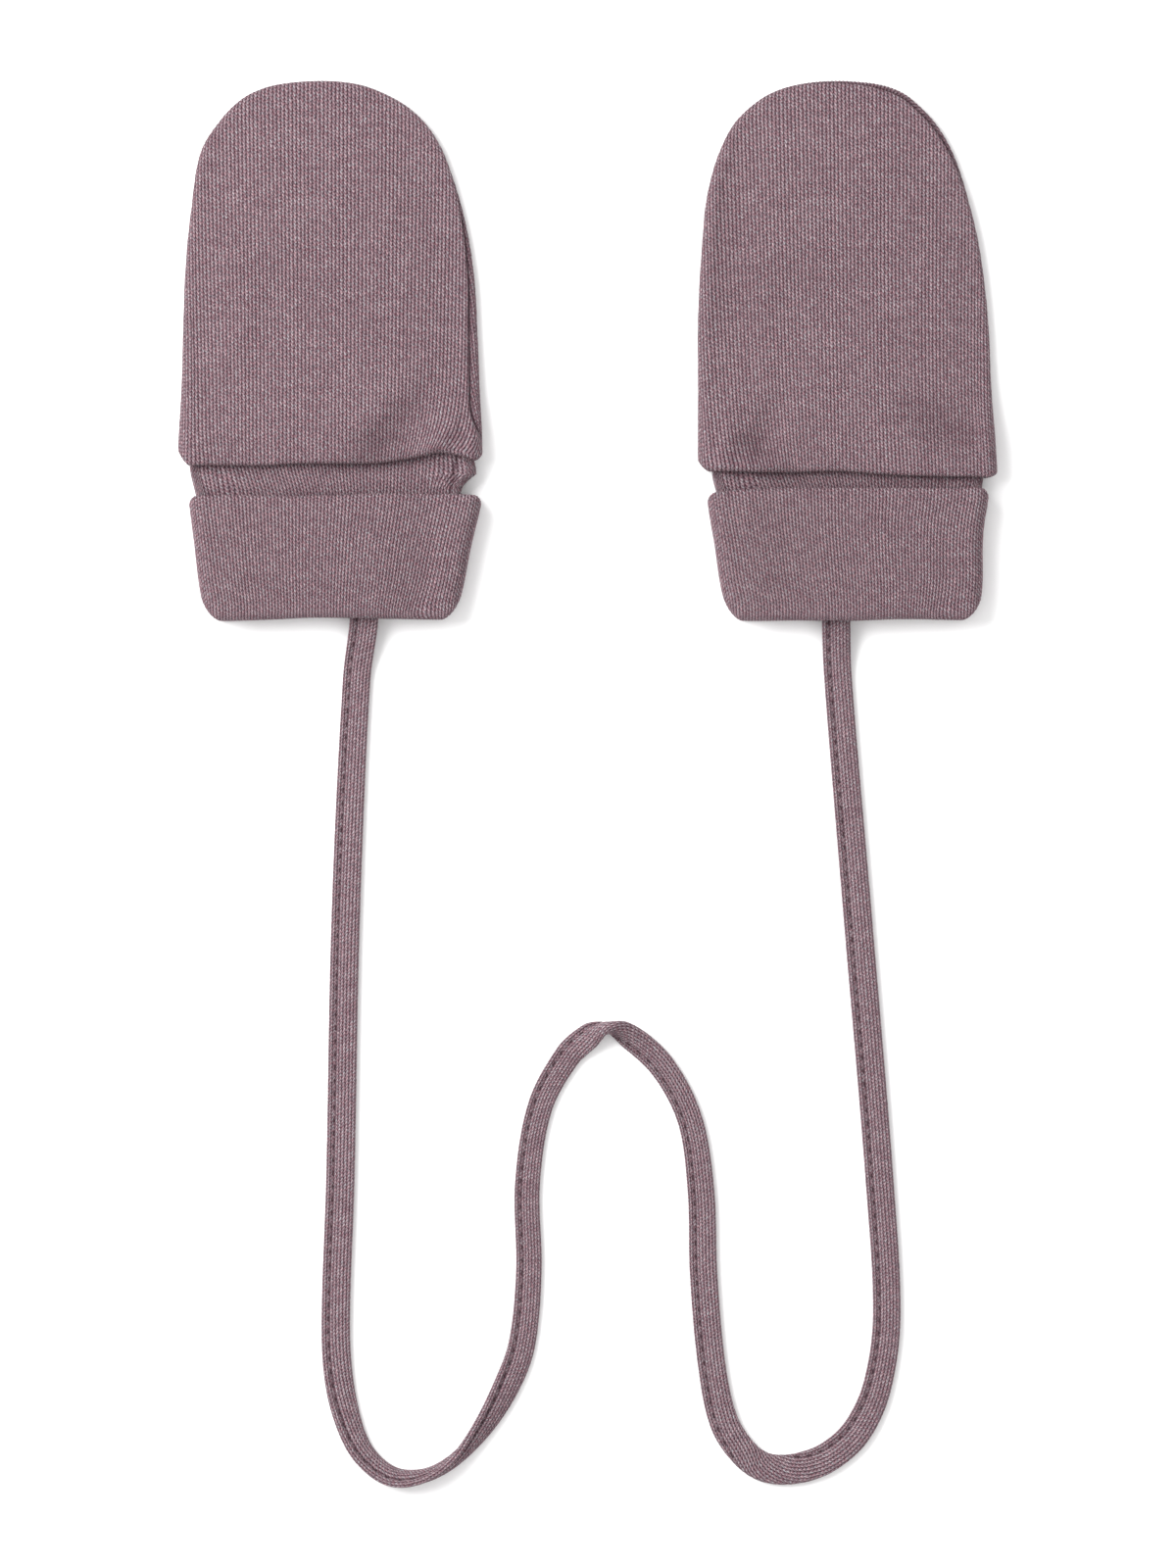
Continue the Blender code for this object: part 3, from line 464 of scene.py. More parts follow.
class Cloth:
    """Collects one piece from grids of points that share their borders."""

    def __init__(self):
        self.points, self.ribs, self.marks, self.quads, self.places, self.caps = ([] for _ in range(6))
        self.count = 0

    def add(self, points, ribs, shade=0.0, gather=0.0):
        """Adds a grid of points, with how much the knitted ribs rise there, how deep the painted shade
        on the yarn is and how tightly the wales are gathered, which sets their painted shading; gives
        their numbers."""
        shape = points.shape[:-1]
        index = self.count + np.arange(np.prod(shape, dtype=int)).reshape(shape)
        self.points.append(points.reshape(-1, 3))
        self.ribs.append(np.broadcast_to(ribs, shape).reshape(-1))
        marks = np.broadcast_arrays(shade, gather, np.zeros(shape))
        self.marks.append(np.stack(marks, -1).reshape(-1, 3))
        self.count += index.size
        return index

    def patch(self, index, place, flip=False):
        """Faces between the neighbours in a grid, with each point's place in the knitting."""
        for grid, faces in ((index, self.quads), (place, self.places)):
            corners = [grid[:-1, :-1], grid[:-1, 1:], grid[1:, 1:], grid[1:, :-1]]
            if flip:
                corners.reverse()
            faces.append(np.stack(corners, 2).reshape(-1, 4, *grid.shape[2:]))

    def cap(self, ring, place):
        """Closes the open end of a tube with one face."""
        self.caps.append((ring.tolist(), place.tolist()))

    def area(self):
        """The area of the faces in square millimetres."""
        a, b, c, d = (np.concatenate(self.points)[np.concatenate(self.quads)[:, k]] for k in range(4))
        return float(np.linalg.norm(np.cross(c - a, d - b), axis=1).sum() / 2)

    def made(self, name, origin, material):
        """The piece as an object, with its ribs raised along its normals."""
        points = (np.concatenate(self.points) + origin) * MM
        faces = np.concatenate(self.quads).tolist() + [ring for ring, _ in self.caps]
        mesh = bpy.data.meshes.new(name)
        mesh.from_pydata(points.tolist(), [], faces)
        normals = np.empty(points.size)
        mesh.vertices.foreach_get("normal", normals)
        points += normals.reshape(-1, 3) * np.concatenate(self.ribs)[:, None] * MM
        mesh.vertices.foreach_set("co", points.ravel())
        places = [np.concatenate(self.places).reshape(-1, 2)]
        places += [np.array(place) for _, place in self.caps]
        marks = mesh.attributes.new(PAINTED_SHADING, "FLOAT_VECTOR", "POINT")
        marks.data.foreach_set("vector", np.concatenate(self.marks).ravel())
        layer = mesh.uv_layers.new(name=KNIT)
        layer.data.foreach_set("uv", np.concatenate(places).ravel())
        mesh.shade_smooth()
        mesh.materials.append(material)
        mesh.update()
        piece = bpy.data.objects.new(name, mesh)
        bpy.context.scene.collection.objects.link(piece)
        return piece


def rib_height(wales, depth):
    """How far the knitted ribs lie below the cloth's outer face: nothing on each wale's middle."""
    return -depth * (0.5 + 0.5 * np.cos(2 * math.pi * wales))


def gathered(lean):
    """How tightly the wales are gathered where they lean."""
    return ease(np.abs(lean) / LEANING)


def ribbed(lean):
    """The share of the ribs' relief that is left where the wales lean."""
    return 1 - gathered(lean)


def wrist_shade(along):
    """Painted shade that makes the yarn a little darker towards the wrist."""
    return WRIST_SHADE * ease((WRIST_SHADE_TOP - along) / (WRIST_SHADE_TOP - BASE))


class Hand:
    """The shape of one mitten's hand part, before it is divided into panels."""

    def __init__(self, mitten):
        self.mitten = mitten
        turns = turn_at(np.array([row.along for row in mitten.sides]))
        self.turns = np.concatenate([-turns, turns[-2::-1]])
        self.across = [row.left for row in mitten.sides]
        self.across += [row.right for row in mitten.sides[-2::-1]]
        self.spread = np.linspace(self.turns[0], self.turns[-1], OUTLINE_SAMPLES + 1)
        self.border = self.outline(self.spread)
        # How wide the rounded edge is at each turn. Each panel sets its own before it is raised.
        self.seam_arc = np.zeros(len(self.spread))

    def outline(self, turn):
        """The point of the outline at a turn: below zero on the left side, above it on the right."""
        return np.stack([smooth(self.turns, self.across, turn), BASE + RISE * np.cos(turn)], -1)

    def edge(self, turn):
        """The edge's point, its outward direction, its half height, its roll and its seam angle."""
        nudge = 1e-3
        way = self.outline(turn + nudge) - self.outline(turn - nudge)
        out = np.stack([-way[..., 1], way[..., 0]], -1) / np.linalg.norm(way, axis=-1, keepdims=True)
        point = self.outline(turn)
        half = column(LEVELS, "edge", point[..., 1]) / 2
        roll = column(LEVELS, "roll", point[..., 1])
        left, right = (column(self.mitten.seams, s, point[..., 1]) for s in ("left", "right"))
        return point, out, half, roll, np.radians(np.where(turn < 0, left, right))

    def roll_point(self, turn, share, panel, depth):
        """A point of the rounded edge: share 0 at the side seam, 1 where the flat cloth begins."""
        point, out, half, roll, seam = self.edge(turn)
        height, width = half - depth, roll - depth
        upward = 1 if panel == "front" else -1
        gap = upward * np.arcsin(SEAM_CLOSED / 2 / height)
        angle = (seam + gap) * (1 - share) + upward * math.pi / 2 * share
        spot = point + out * (width * np.cos(angle) - roll)[..., None]
        return np.concatenate([spot, (half + height * np.sin(angle))[..., None]], -1)

    def drawn(self, turn):
        """How strongly the side seam draws the cloth in: fully where it lies on top."""
        return ease(np.abs(self.edge(turn)[4]) / SEAM_ON_TOP)

    def dip(self, turn, from_seam):
        """How far the cloth is drawn in near the side seam."""
        deep = SIDE_SEAM_DIP + (SEAM_DIP - SIDE_SEAM_DIP) * self.drawn(turn)
        return deep * np.exp(-from_seam / SEAM_RUN)

    def shade(self, turn, from_seam):
        """How deep the painted shade in the seam's groove is."""
        return (SIDE_SHADE + (1 - SIDE_SHADE) * self.drawn(turn)) * bell(from_seam, SHADE_RUN)

    def inset(self, turn):
        """The point in the plane where the rounded edge ends."""
        point, out, _, roll, _ = self.edge(turn)
        return point - out * roll[..., None]

    def strip(self, turn, panel, steps):
        """Shares of the rounded edge at even steps, and how far each lies from the flat cloth."""
        _, _, half, roll, seam = self.edge(turn)
        fine = np.linspace(0, 1, ROLL_SAMPLES + 1)
        upward = 1 if panel == "front" else -1
        angle = seam[:, None] * (1 - fine) + upward * math.pi / 2 * fine
        arc = np.stack([roll[:, None] * np.cos(angle), half[:, None] * np.sin(angle)], -1)
        even = np.linspace(0, 1, steps + 1)
        lines = [walked(line) for line in arc]
        shares = np.array([np.interp(even * line[-1], line, fine) for line in lines])
        return shares, np.array([line[-1] * (1 - even) for line in lines])

    def nearest(self, spots):
        """How far each point of the plane lies from the outline, and which sample is nearest."""
        spots = np.asarray(spots)
        away, which = [], []
        for block in np.array_split(spots, max(len(spots) // NEAREST_BLOCK, 1)):
            gaps = np.hypot(*(block[:, None, :] - self.border[None, :, :]).transpose(2, 0, 1))
            which.append(gaps.argmin(1))
            away.append(gaps.min(1))
        return np.concatenate(away), np.concatenate(which)

    def lift(self, spots, panel, depth, ruffle=1.0):
        """Height of the cloth, and the depth of its painted shade, at points of the plane inside the
        rounded edge. Ridges run out to the lip by the ruffle's share, and troughs end above the cloth
        that is turned in there."""
        if panel == "back":
            return np.full(len(spots), depth), np.zeros(len(spots))
        away, which = self.nearest(spots)
        across, along = spots.T
        edge = column(LEVELS, "edge", along)
        roll = column(LEVELS, "roll", along)
        middle = column(LEVELS, "middle", along)
        inner = ease((away - roll) / (CROWN_REACH - roll))
        height = edge + (middle - edge) * inner
        clear = ease((along - self.lip(across) - SEAM_ABOVE_LIP) / TROUGH_RUN)
        calm = ease((away - roll) / EDGE_CALM)
        sunk = np.zeros(len(spots))
        for rise in folded(self.mitten.folds, across, along):
            height += calm * rise * np.where(rise > 0, ruffle, clear)
            sunk += calm * np.maximum(-rise, 0)
        height += HAND_DENT * calm * clear * dents(spots, self.mitten.middle)
        from_seam = self.seam_arc[which] + np.maximum(away - roll, 0)
        shade = np.maximum(self.shade(self.spread[which], from_seam), TROUGH_SHADE * sunk)
        height = height - depth - self.dip(self.spread[which], from_seam)
        return height, shade + wrist_shade(along)

    def lip(self, across):
        """How far along the lower edge of the hand part lies, with its rounded corners."""
        height = column(self.mitten.lip, "height", across)
        ends = (self.outline(self.turns[0])[0], self.outline(self.turns[-1])[0])
        for end, rise in zip(ends, self.mitten.corner):
            near = 1 - np.minimum(np.abs(across - end) / CORNER_REACH, 1.0)
            height = height + rise * near**2
        return height

    def lean(self, points):
        """How far the wales are drawn to one side at points near the lip."""
        across, above = points[..., 0], np.maximum(points[..., 1] - self.lip(points[..., 0]), 0)
        return sum(leaned(lean, across) * np.exp(-above / lean.reach) for lean in self.mitten.leans)


def blend_patch(bottom, top, left, right, heights):
    """Fills four borders with a grid of points; row 0 is the bottom border."""
    u = np.linspace(0, 1, len(bottom))[None, :, None]
    v = heights[:, None, None]
    low = (1 - u) * bottom[0] + u * bottom[-1]
    high = (1 - u) * top[0] + u * top[-1]
    across = (1 - u) * left[:, None] + u * right[:, None]
    return (1 - v) * bottom[None] + v * top[None] + across - (1 - v) * low - v * high


def turned_in_rows():
    """Rows of the turned-in wrist edge: how far along from the lip, how deep, how far walked, and
    how much of the folds' ridges is left."""
    rows = []
    for step in range(1, FOLD_STEPS + 1):
        angle = math.pi * step / FOLD_STEPS
        low, depth = BODY_FOLD * (1 - math.sin(angle)), BODY_FOLD * (1 - math.cos(angle))
        rows.append((low, depth, BODY_FOLD * angle, 1 - step / FOLD_STEPS))
    for step in range(1, TURNED_IN_STEPS + 1):
        way = TURNED_IN * step / TURNED_IN_STEPS
        rows.append((BODY_FOLD + way, 2 * BODY_FOLD, BODY_FOLD * math.pi + way, 0.0))
    return rows


def hand_panel(hand, panel, rib_depth, material):
    """One panel of a mitten: cloth from seam to seam, over the tip and under at the wrist."""
    mitten, leaning = hand.mitten, panel == "front"
    across, rows, steps = HAND_WALES * COLUMNS_PER_WALE, HAND_ROWS[panel], ROLL_STEPS[panel]
    ends = hand.outline(hand.turns[0])[0], hand.outline(hand.turns[-1])[0]
    heights = (np.arange(rows + 1) / rows) ** HAND_CROWDING[panel]

    def corner_at(side, share):
        """Where the rounded edge meets the lip, for one share of the roll."""
        start = mitten.seams[0].left if side < 0 else mitten.seams[0].right
        upward = 90 if panel == "front" else -90
        angle = np.radians(start * (1 - share) + upward * share)
        end = ends[0] if side < 0 else ends[1]
        return hand.lip(end - side * LEVELS[0].roll * (1 - np.cos(angle)))

    def side_turns(side, share):
        """Turns up one side, a row for each height and a column for each share."""
        low = (corner_at(side, share) + BODY_FOLD)
        return side * turn_at(low + (SIDE_TOP - low) * heights[:, None])

    fine = np.linspace(-turn_at(SIDE_TOP), turn_at(SIDE_TOP), OUTLINE_SAMPLES + 1)
    flat_way = np.abs(np.diff(hand.inset(fine), axis=0)) @ (1, STEEP_SHARE)
    flat_way = np.concatenate([[0], np.cumsum(flat_way)])
    dome = np.interp(np.linspace(0, flat_way[-1], across + 1), flat_way, fine)

    full = np.ones(1)
    middle_turns = [side_turns(-1, full)[:, 0], dome[1:-1], side_turns(1, full)[::-1, 0]]
    shares, away = hand.strip(np.concatenate(middle_turns), panel, steps)
    stations = len(shares) - 1
    left_turns = np.stack([side_turns(-1, shares[j])[j] for j in range(rows + 1)])
    right_turns = np.stack([side_turns(1, shares[stations - j])[j] for j in range(rows + 1)])
    over_tip = np.repeat(dome[1:-1, None], steps + 1, axis=1)
    turns = np.concatenate([left_turns, over_tip, right_turns[::-1]])
    hand.seam_arc = np.interp(hand.spread, turns[:, -1], away[:, 0])

    dip = hand.dip(turns, away[:, :1] - away)
    rim = hand.roll_point(turns, shares, panel, dip)
    inset = hand.inset(turns[:, -1])
    out = hand.edge(turns[:, -1])[1]
    wale = np.clip(np.arange(stations + 1) - rows, 0, across) / COLUMNS_PER_WALE
    rim_wale = wale[:, None] + out[:, :1] * away / WALE
    rim_place = np.stack([rim_wale, (inset[:, 1:] + out[:, 1:] * away) / COURSE], -1)

    def borders(line):
        """What runs up the left side, up the right side and over the tip."""
        return line[: rows + 1], line[: -rows - 2 : -1], line[rows : rows + across + 1]

    left, right, top = borders(inset)
    x = np.linspace(left[0, 0], right[0, 0], across + 1)
    bottom = np.stack([x, hand.lip(x) + BODY_FOLD], -1)
    bottom[0], bottom[-1] = left[0], right[0]
    grid = blend_patch(bottom, top, left, right, heights)
    inner = grid[:-1, 1:-1]
    spots = inner.reshape(-1, 2)
    height, flat_shade = (part.reshape(inner.shape[:2]) for part in hand.lift(spots, panel, 0))
    raised = np.concatenate([inner, height[..., None]], -1)

    cloth = Cloth()
    from_seam = away[:, :1] - away
    rim_lean = hand.lean(rim) * leaning
    rim_place += rim_lean[..., None] * (-1 / WALE, COURSE_TURN / COURSE)
    calm = (1 - bell(from_seam, SEAM_RUN)) * ribbed(rim_lean)
    rim_ribs = rib_height(rim_place[..., 0], rib_depth) * calm
    rim_shade = hand.shade(turns, from_seam) + wrist_shade(rim[..., 1]) * leaning
    rim_index = cloth.add(rim, rim_ribs, rim_shade, gathered(rim_lean))
    lean = hand.lean(grid) * leaning
    flat_wale = np.arange(across + 1) / COLUMNS_PER_WALE - lean / WALE
    flat_place = np.stack([flat_wale, (grid[..., 1] + COURSE_TURN * lean) / COURSE], -1)
    flat_index = np.zeros(grid.shape[:2], int)
    ribs = rib_height(flat_wale, rib_depth) * ribbed(lean)
    flat_index[:-1, 1:-1] = cloth.add(raised, ribs[:-1, 1:-1], flat_shade, gathered(lean)[:-1, 1:-1])
    flat_index[:, 0], flat_index[:, -1], flat_index[-1] = borders(rim_index[:, -1])
    upside_down = panel == "back"
    cloth.patch(rim_index, rim_place, flip=upside_down)
    cloth.patch(flat_index, flat_place, flip=upside_down)

    first = np.concatenate([rim_index[0], flat_index[0, 1:-1], rim_index[-1, ::-1]])
    first_place = np.concatenate([rim_place[0], flat_place[0, 1:-1], rim_place[-1, ::-1]])
    lines, line_places = [], []
    for low, depth, way, ruffle in turned_in_rows():
        sides = []
        for side, share, sunk in ((-1, shares[0], dip[0]), (1, shares[-1], dip[-1])):
            turn = side * turn_at(corner_at(side, share) + low)
            sides.append(hand.roll_point(turn, share, panel, depth + sunk))
        x = grid[0, 1:-1, 0]
        spots = np.stack([x, hand.lip(x) + low], -1)
        height = hand.lift(spots, panel, depth, ruffle)[0]
        lifted = np.concatenate([spots, height[:, None]], 1)
        lines.append(np.concatenate([sides[0], lifted, sides[1][::-1]]))
        line_places.append(first_place - (0, way / COURSE))
    ribs = rib_height(first_place[:, 0], rib_depth / 2)
    wrist = np.concatenate([first[None], cloth.add(np.array(lines), ribs)])
    cloth.patch(wrist, np.concatenate([first_place[None], line_places]), flip=not upside_down)

    piece = cloth.made(f"{mitten.name}_{panel}_cloth", placed(mitten), material)
    thicken(piece, BODY_CLOTH)
    widest = float((away[:, 0] + np.abs(inset[:, 0])).max() * 2)
    hem = math.pi * BODY_FOLD + TURNED_IN
    longest = float(MITTEN_LENGTH - hand.lip(0.0) + hem + away[:, 0].min())
    return declare(piece, f"{mitten.name}_{panel}", widest, longest, cloth.area())


def thicken(piece, wall):
    """Gives cloth its thickness, inwards from its outer face."""
    solid = piece.modifiers.new("Cloth thickness", "SOLIDIFY")
    solid.thickness = wall * MM
    solid.offset = -1
    bpy.context.view_layer.update()
    done = bpy.data.meshes.new_from_object(piece.evaluated_get(bpy.context.evaluated_depsgraph_get()))
    piece.modifiers.clear()
    piece.data = done


def declare(piece, node, width, length, area):
    """Attaches a piece of cloth to the root and hides the part it stands for; the size it was cut to is
    worked out but not kept.
    """
    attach(piece, "root")
    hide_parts(node)
    length = max(length, area / width)
    return piece


def rounded(away, radius):
    """How much a corner of this radius draws an edge back, some way from the side."""
    away = np.minimum(away, radius)
    return radius - np.sqrt(np.maximum(radius**2 - (radius - away) ** 2, 0))


Line = namedtuple("Line", "start high seam offset out share ribs turned")


def cuff_profile():
    """The cuff's wall seen from the side, as a closed line. A point's place along the mitten is a
    sum of shares of the lower fold, the turn-up's edge and the wrist seam, and an offset; "out" is
    how far it lies from the hollow, "share" is 0 for the inner wall up to 1 for the turn-up, "ribs"
    the share of the relief, and "turned" -1 where the courses run down and 1 where they run up."""
    lines = [Line(1 - t, 0, t, 0, 0, 0, 0.5, -1)
             for t in np.linspace(1, 0, SEAM_TO_FOLD_STEPS)]
    for angle in np.linspace(0, math.pi, LOWER_FOLD_STEPS)[1:-1]:
        share = (1 - math.cos(angle)) / 2
        turned = 2 * angle / math.pi - 1
        left = 1 - FOLD_STRETCH * math.sin(angle)
        offset = -CUFF_FOLD * math.sin(angle)
        lines.append(Line(1, 0, 0, offset, CUFF_OUTSIDE * share, share, left, turned))
    for t in np.linspace(0, 1, TURN_UP_STEPS):
        lines.append(Line(1 - t, t, 0, -CUFF_WALL / 2 * t, CUFF_OUTSIDE, 1, 1, 1))
    for angle in np.linspace(0, math.pi, HEM_STEPS)[1:-1]:
        offset = CUFF_WALL / 2 * (math.sin(angle) - 1)
        out = CUFF_OUTSIDE - CUFF_WALL / 2 * (1 - math.cos(angle))
        lines.append(Line(0, 1, 0, offset, out, 1, (1 + math.cos(angle)) / 2, 1))
    for t in np.linspace(1, 0, UNDER_TURN_UP_STEPS):
        lines.append(Line(1 - t, t, 0, -CUFF_WALL / 2 * t, CUFF_OUTSIDE - CUFF_WALL, 1, 0, 1))
    lines.append(Line(1, 0, 0, -SEAM_GAP / 2, CUFF_FOLD, 0.5, 0, 1))
    for t in INNER_WALL_ROWS:
        ribs = ease((t - INNER_RIBS_FROM) / INNER_RIBS_RISE)
        lines.append(Line(1 - t, 0, t, 0, CUFF_WALL, 0, ribs, 1))
    return lines


def cuff_columns():
    """Directions round the flattened cuff: across from -1 to 1 on the flat sides, up or down, and
    the angle of the round ends, which is not a number on the flat sides."""
    flat, turned = CUFF_WALES * COLUMNS_PER_WALE, CUFF_END_WALES * COLUMNS_PER_WALE
    span = -1 + 2 * np.arange(1, flat) / flat
    angles = np.linspace(math.pi / 2, -math.pi / 2, turned + 1)
    blank_flat, blank_end = np.full(flat - 1, math.nan), np.zeros(turned + 1)
    across = np.concatenate([span, blank_end + 1, -span, blank_end - 1])
    up = np.concatenate([np.ones(flat - 1), blank_end, -np.ones(flat - 1), blank_end])
    angle = np.concatenate([blank_flat, angles, blank_flat, -angles])
    return across, up, angle


def cuff_piece(mitten, rib_depth, material):
    """The doubled cuff: an inner wall from the wrist seam down, folded out and turned up."""
    x, up, angle = (values[:, None] for values in cuff_columns())
    profile = cuff_profile()
    start_w, high_w, seam_w, offset, out, share, ribs, _ = (np.array(c, float) for c in zip(*profile))

    def band_line(along):
        """The inner wall's edges without the bend above the turn-up."""
        first, last = mitten.band[0], mitten.band[-1]
        way = (along - first.along) / (last.along - first.along)
        return [first.left + CUFF_WALL + (last.left - first.left) * way,
                first.right - CUFF_WALL + (last.right - first.right) * way]

    def ring(along, out, share):
        """Points round the cuff at some way along and out from the hollow."""
        edges = []
        for side, sign in (("left", -1), ("right", 1)):
            band = column(mitten.band, side, along) - sign * CUFF_WALL
            turned = column(mitten.cuff, side, along) - sign * CUFF_OUTSIDE
            edges.append((1 - share) * band + share * turned)
        half = column(HOLLOWS, "half", along) + out
        centre = column(HOLLOWS, "centre", along)
        half = (1 - share) * half + share * (CUFF_HALF - CUFF_OUTSIDE + out)
        centre = (1 - share) * centre + share * CUFF_HALF
        low, high = edges[0] + HOLLOW_END, edges[1] - HOLLOW_END
        spot = low + (high - low) * (x + 1) / 2
        straight = [(1 - share) * (edge + HOLLOW_END * sign) + share * own
                    for edge, own, sign in zip(band_line(along), (low, high), (1, -1))]
        even = straight[0] + (straight[1] - straight[0]) * (x + 1) / 2
        pull = [(own - line) * np.maximum(1 - np.abs(even - line) / EDGE_PULL, 0)
                for own, line in zip((low, high), straight)]
        spot = even + pull[0] + pull[1]
        crown = share * CUFF_CROWN * (1 - x * x) * (up > 0)
        flat = np.isnan(angle)
        bend = np.where(flat, 0, angle)
        end = np.where(x < 0, low, high)
        reach = (HOLLOW_END + out) * np.cos(bend)
        across = np.where(flat, spot, end + x * reach)
        height = np.where(flat, centre + up * half + crown, centre + half * np.sin(bend))
        return np.stack(np.broadcast_arrays(across, along, height), -1)

    outer = ring(np.full_like(x, CUFF_MIDDLE), CUFF_OUTSIDE, 1.0)[..., 0]
    ends = [column(mitten.cuff, side, CUFF_MIDDLE) for side in ("left", "right")]
    away = np.maximum(np.minimum(outer - ends[0], ends[1] - outer), 0)
    low = column(mitten.hem, "bottom", outer) + rounded(away, CUFF_CORNER)
    high = column(mitten.hem, "top", outer) - rounded(away, CUFF_TOP_CORNER)
    seam = column(mitten.lip, "height", outer) + SEAM_ABOVE_LIP
    along = (low + CUFF_FOLD) * start_w + high * high_w + seam * seam_w + offset
    points = ring(along, out, share)
    across, along = points[..., 0].copy(), points[..., 1]
    ends = points[:, None, :, 0].min(0), points[:, None, :, 0].max(0)
    from_side = np.minimum(across - ends[0], ends[1] - across)
    on_top = ease((from_side - CUFF_HALF) / CUFF_CALM) * (up > 0)
    for lean in mitten.band_leans:
        way = np.clip((BAND_TOP - along) / lean.reach, 0, 1) * (share == 0) * on_top
        points[..., 0] += leaned(lean, across) * way
    for lean in mitten.cuff_leans:
        way = np.exp(-np.maximum(along, 0) / lean.reach) * share * on_top
        points[..., 0] += leaned(lean, across) * way

    dent = dents(points[..., :2].reshape(-1, 2), mitten.middle + CUFF_DENT_SEED)
    relief = CUFF_DENT * dent.reshape(points.shape[:2]) * ribs * (up > 0)
    inside, outside = (share == 0) * (up > 0), (share == 1) * on_top
    # Painted shade on the inner wall under the lip and above the turn-up's edge, in the turn-up's
    # troughs and along its lower fold
    under_lip = column(mitten.lip_shade, "height", outer)
    shade = under_lip * bell(along - (seam - SEAM_ABOVE_LIP), LIP_SHADE_RUN)
    shade = np.maximum(shade, HEM_SHADE * bell(along - high, HEM_SHADE_RUN)) * inside
    for rise in folded(mitten.cuff_folds, points[..., 0], along):
        relief = relief + rise * outside * ribs
        shade = shade + TROUGH_SHADE * np.maximum(-rise, 0) * outside
    low_edge = np.maximum(along - low, 0) / LOWER_FOLD_SHADE_RUN
    shade = shade + LOWER_FOLD_SHADE * np.exp(-low_edge) * (share > 0.5) * (up > 0)
    # The groove of the inner wall's own seam is sunk and painted fully in shade.
    if mitten.groove:
        (x0, y0), (x1, y1) = mitten.groove
        line = x0 + (along - y0) * (x1 - x0) / (y1 - y0)
        near = bell(points[..., 0] - line, GROOVE_WIDTH) * inside
        relief = relief - GROOVE_DEPTH * near * ribs
        shade = np.maximum(shade, near)
    wale = np.arange(len(x) + 1) / COLUMNS_PER_WALE
    turned = np.array([line.turned for line in profile])
    way = along * turned + (1 + turned) / 2 * (math.pi - 2) * CUFF_FOLD
    way = np.concatenate([way, way[:, -1:] + CUFF_WALL], 1)
    way = np.concatenate([way, way[:1]])
    place = np.stack(np.broadcast_arrays(wale[:, None], way / CUFF_COURSE), -1)
    cloth = Cloth()
    raised = rib_height(wale[:-1, None], rib_depth) * ribs + relief
    index = cloth.add(points, raised, shade)
    index = np.pad(index, ((0, 1), (0, 1)), mode="wrap")
    cloth.patch(index, place, flip=True)
    piece = cloth.made(f"{mitten.name}_cuff_cloth", placed(mitten), material)
    around = float(walked(ring(np.full_like(x, CUFF_MIDDLE), CUFF_OUTSIDE, 1.0)[:, 0])[-1])
    return declare(piece, f"{mitten.name}_cuff", around, 1.0, cloth.area() / 2)


def cord_stations():
    """Even stations along the cord's route, four to a stitch: its columns and the way walked."""
    corners = np.array([(stop.across, stop.up) for stop in CORD_ROUTE])
    keys = walked(corners)
    sewing = bpy.context.scene.mitten_sewing
    step = sewing.spacing / MM / STATIONS_PER_STITCH
    count = int(round(keys[-1] / step))
    places = np.linspace(0, keys[-1], count + 1)
    table = {name: smooth(keys, row, places) for name, row in zip(Stop._fields, zip(*CORD_ROUTE))}
    return table, places, step


def flat_oval(share):
    """Points of a flat oval, across and up, at shares of the way round it from its right end."""
    turn = np.linspace(0, 2 * math.pi, OVAL_SAMPLES + 1)
    rise = np.sign(np.sin(turn)) * np.abs(np.sin(turn)) ** OVAL_FLATNESS
    line = np.stack([OVAL[0] * np.cos(turn), OVAL[1] * rise], -1)
    way = walked(line)
    way /= way[-1]
    return [np.interp(share % 1.0, way, line[:, k]) for k in (0, 1)]


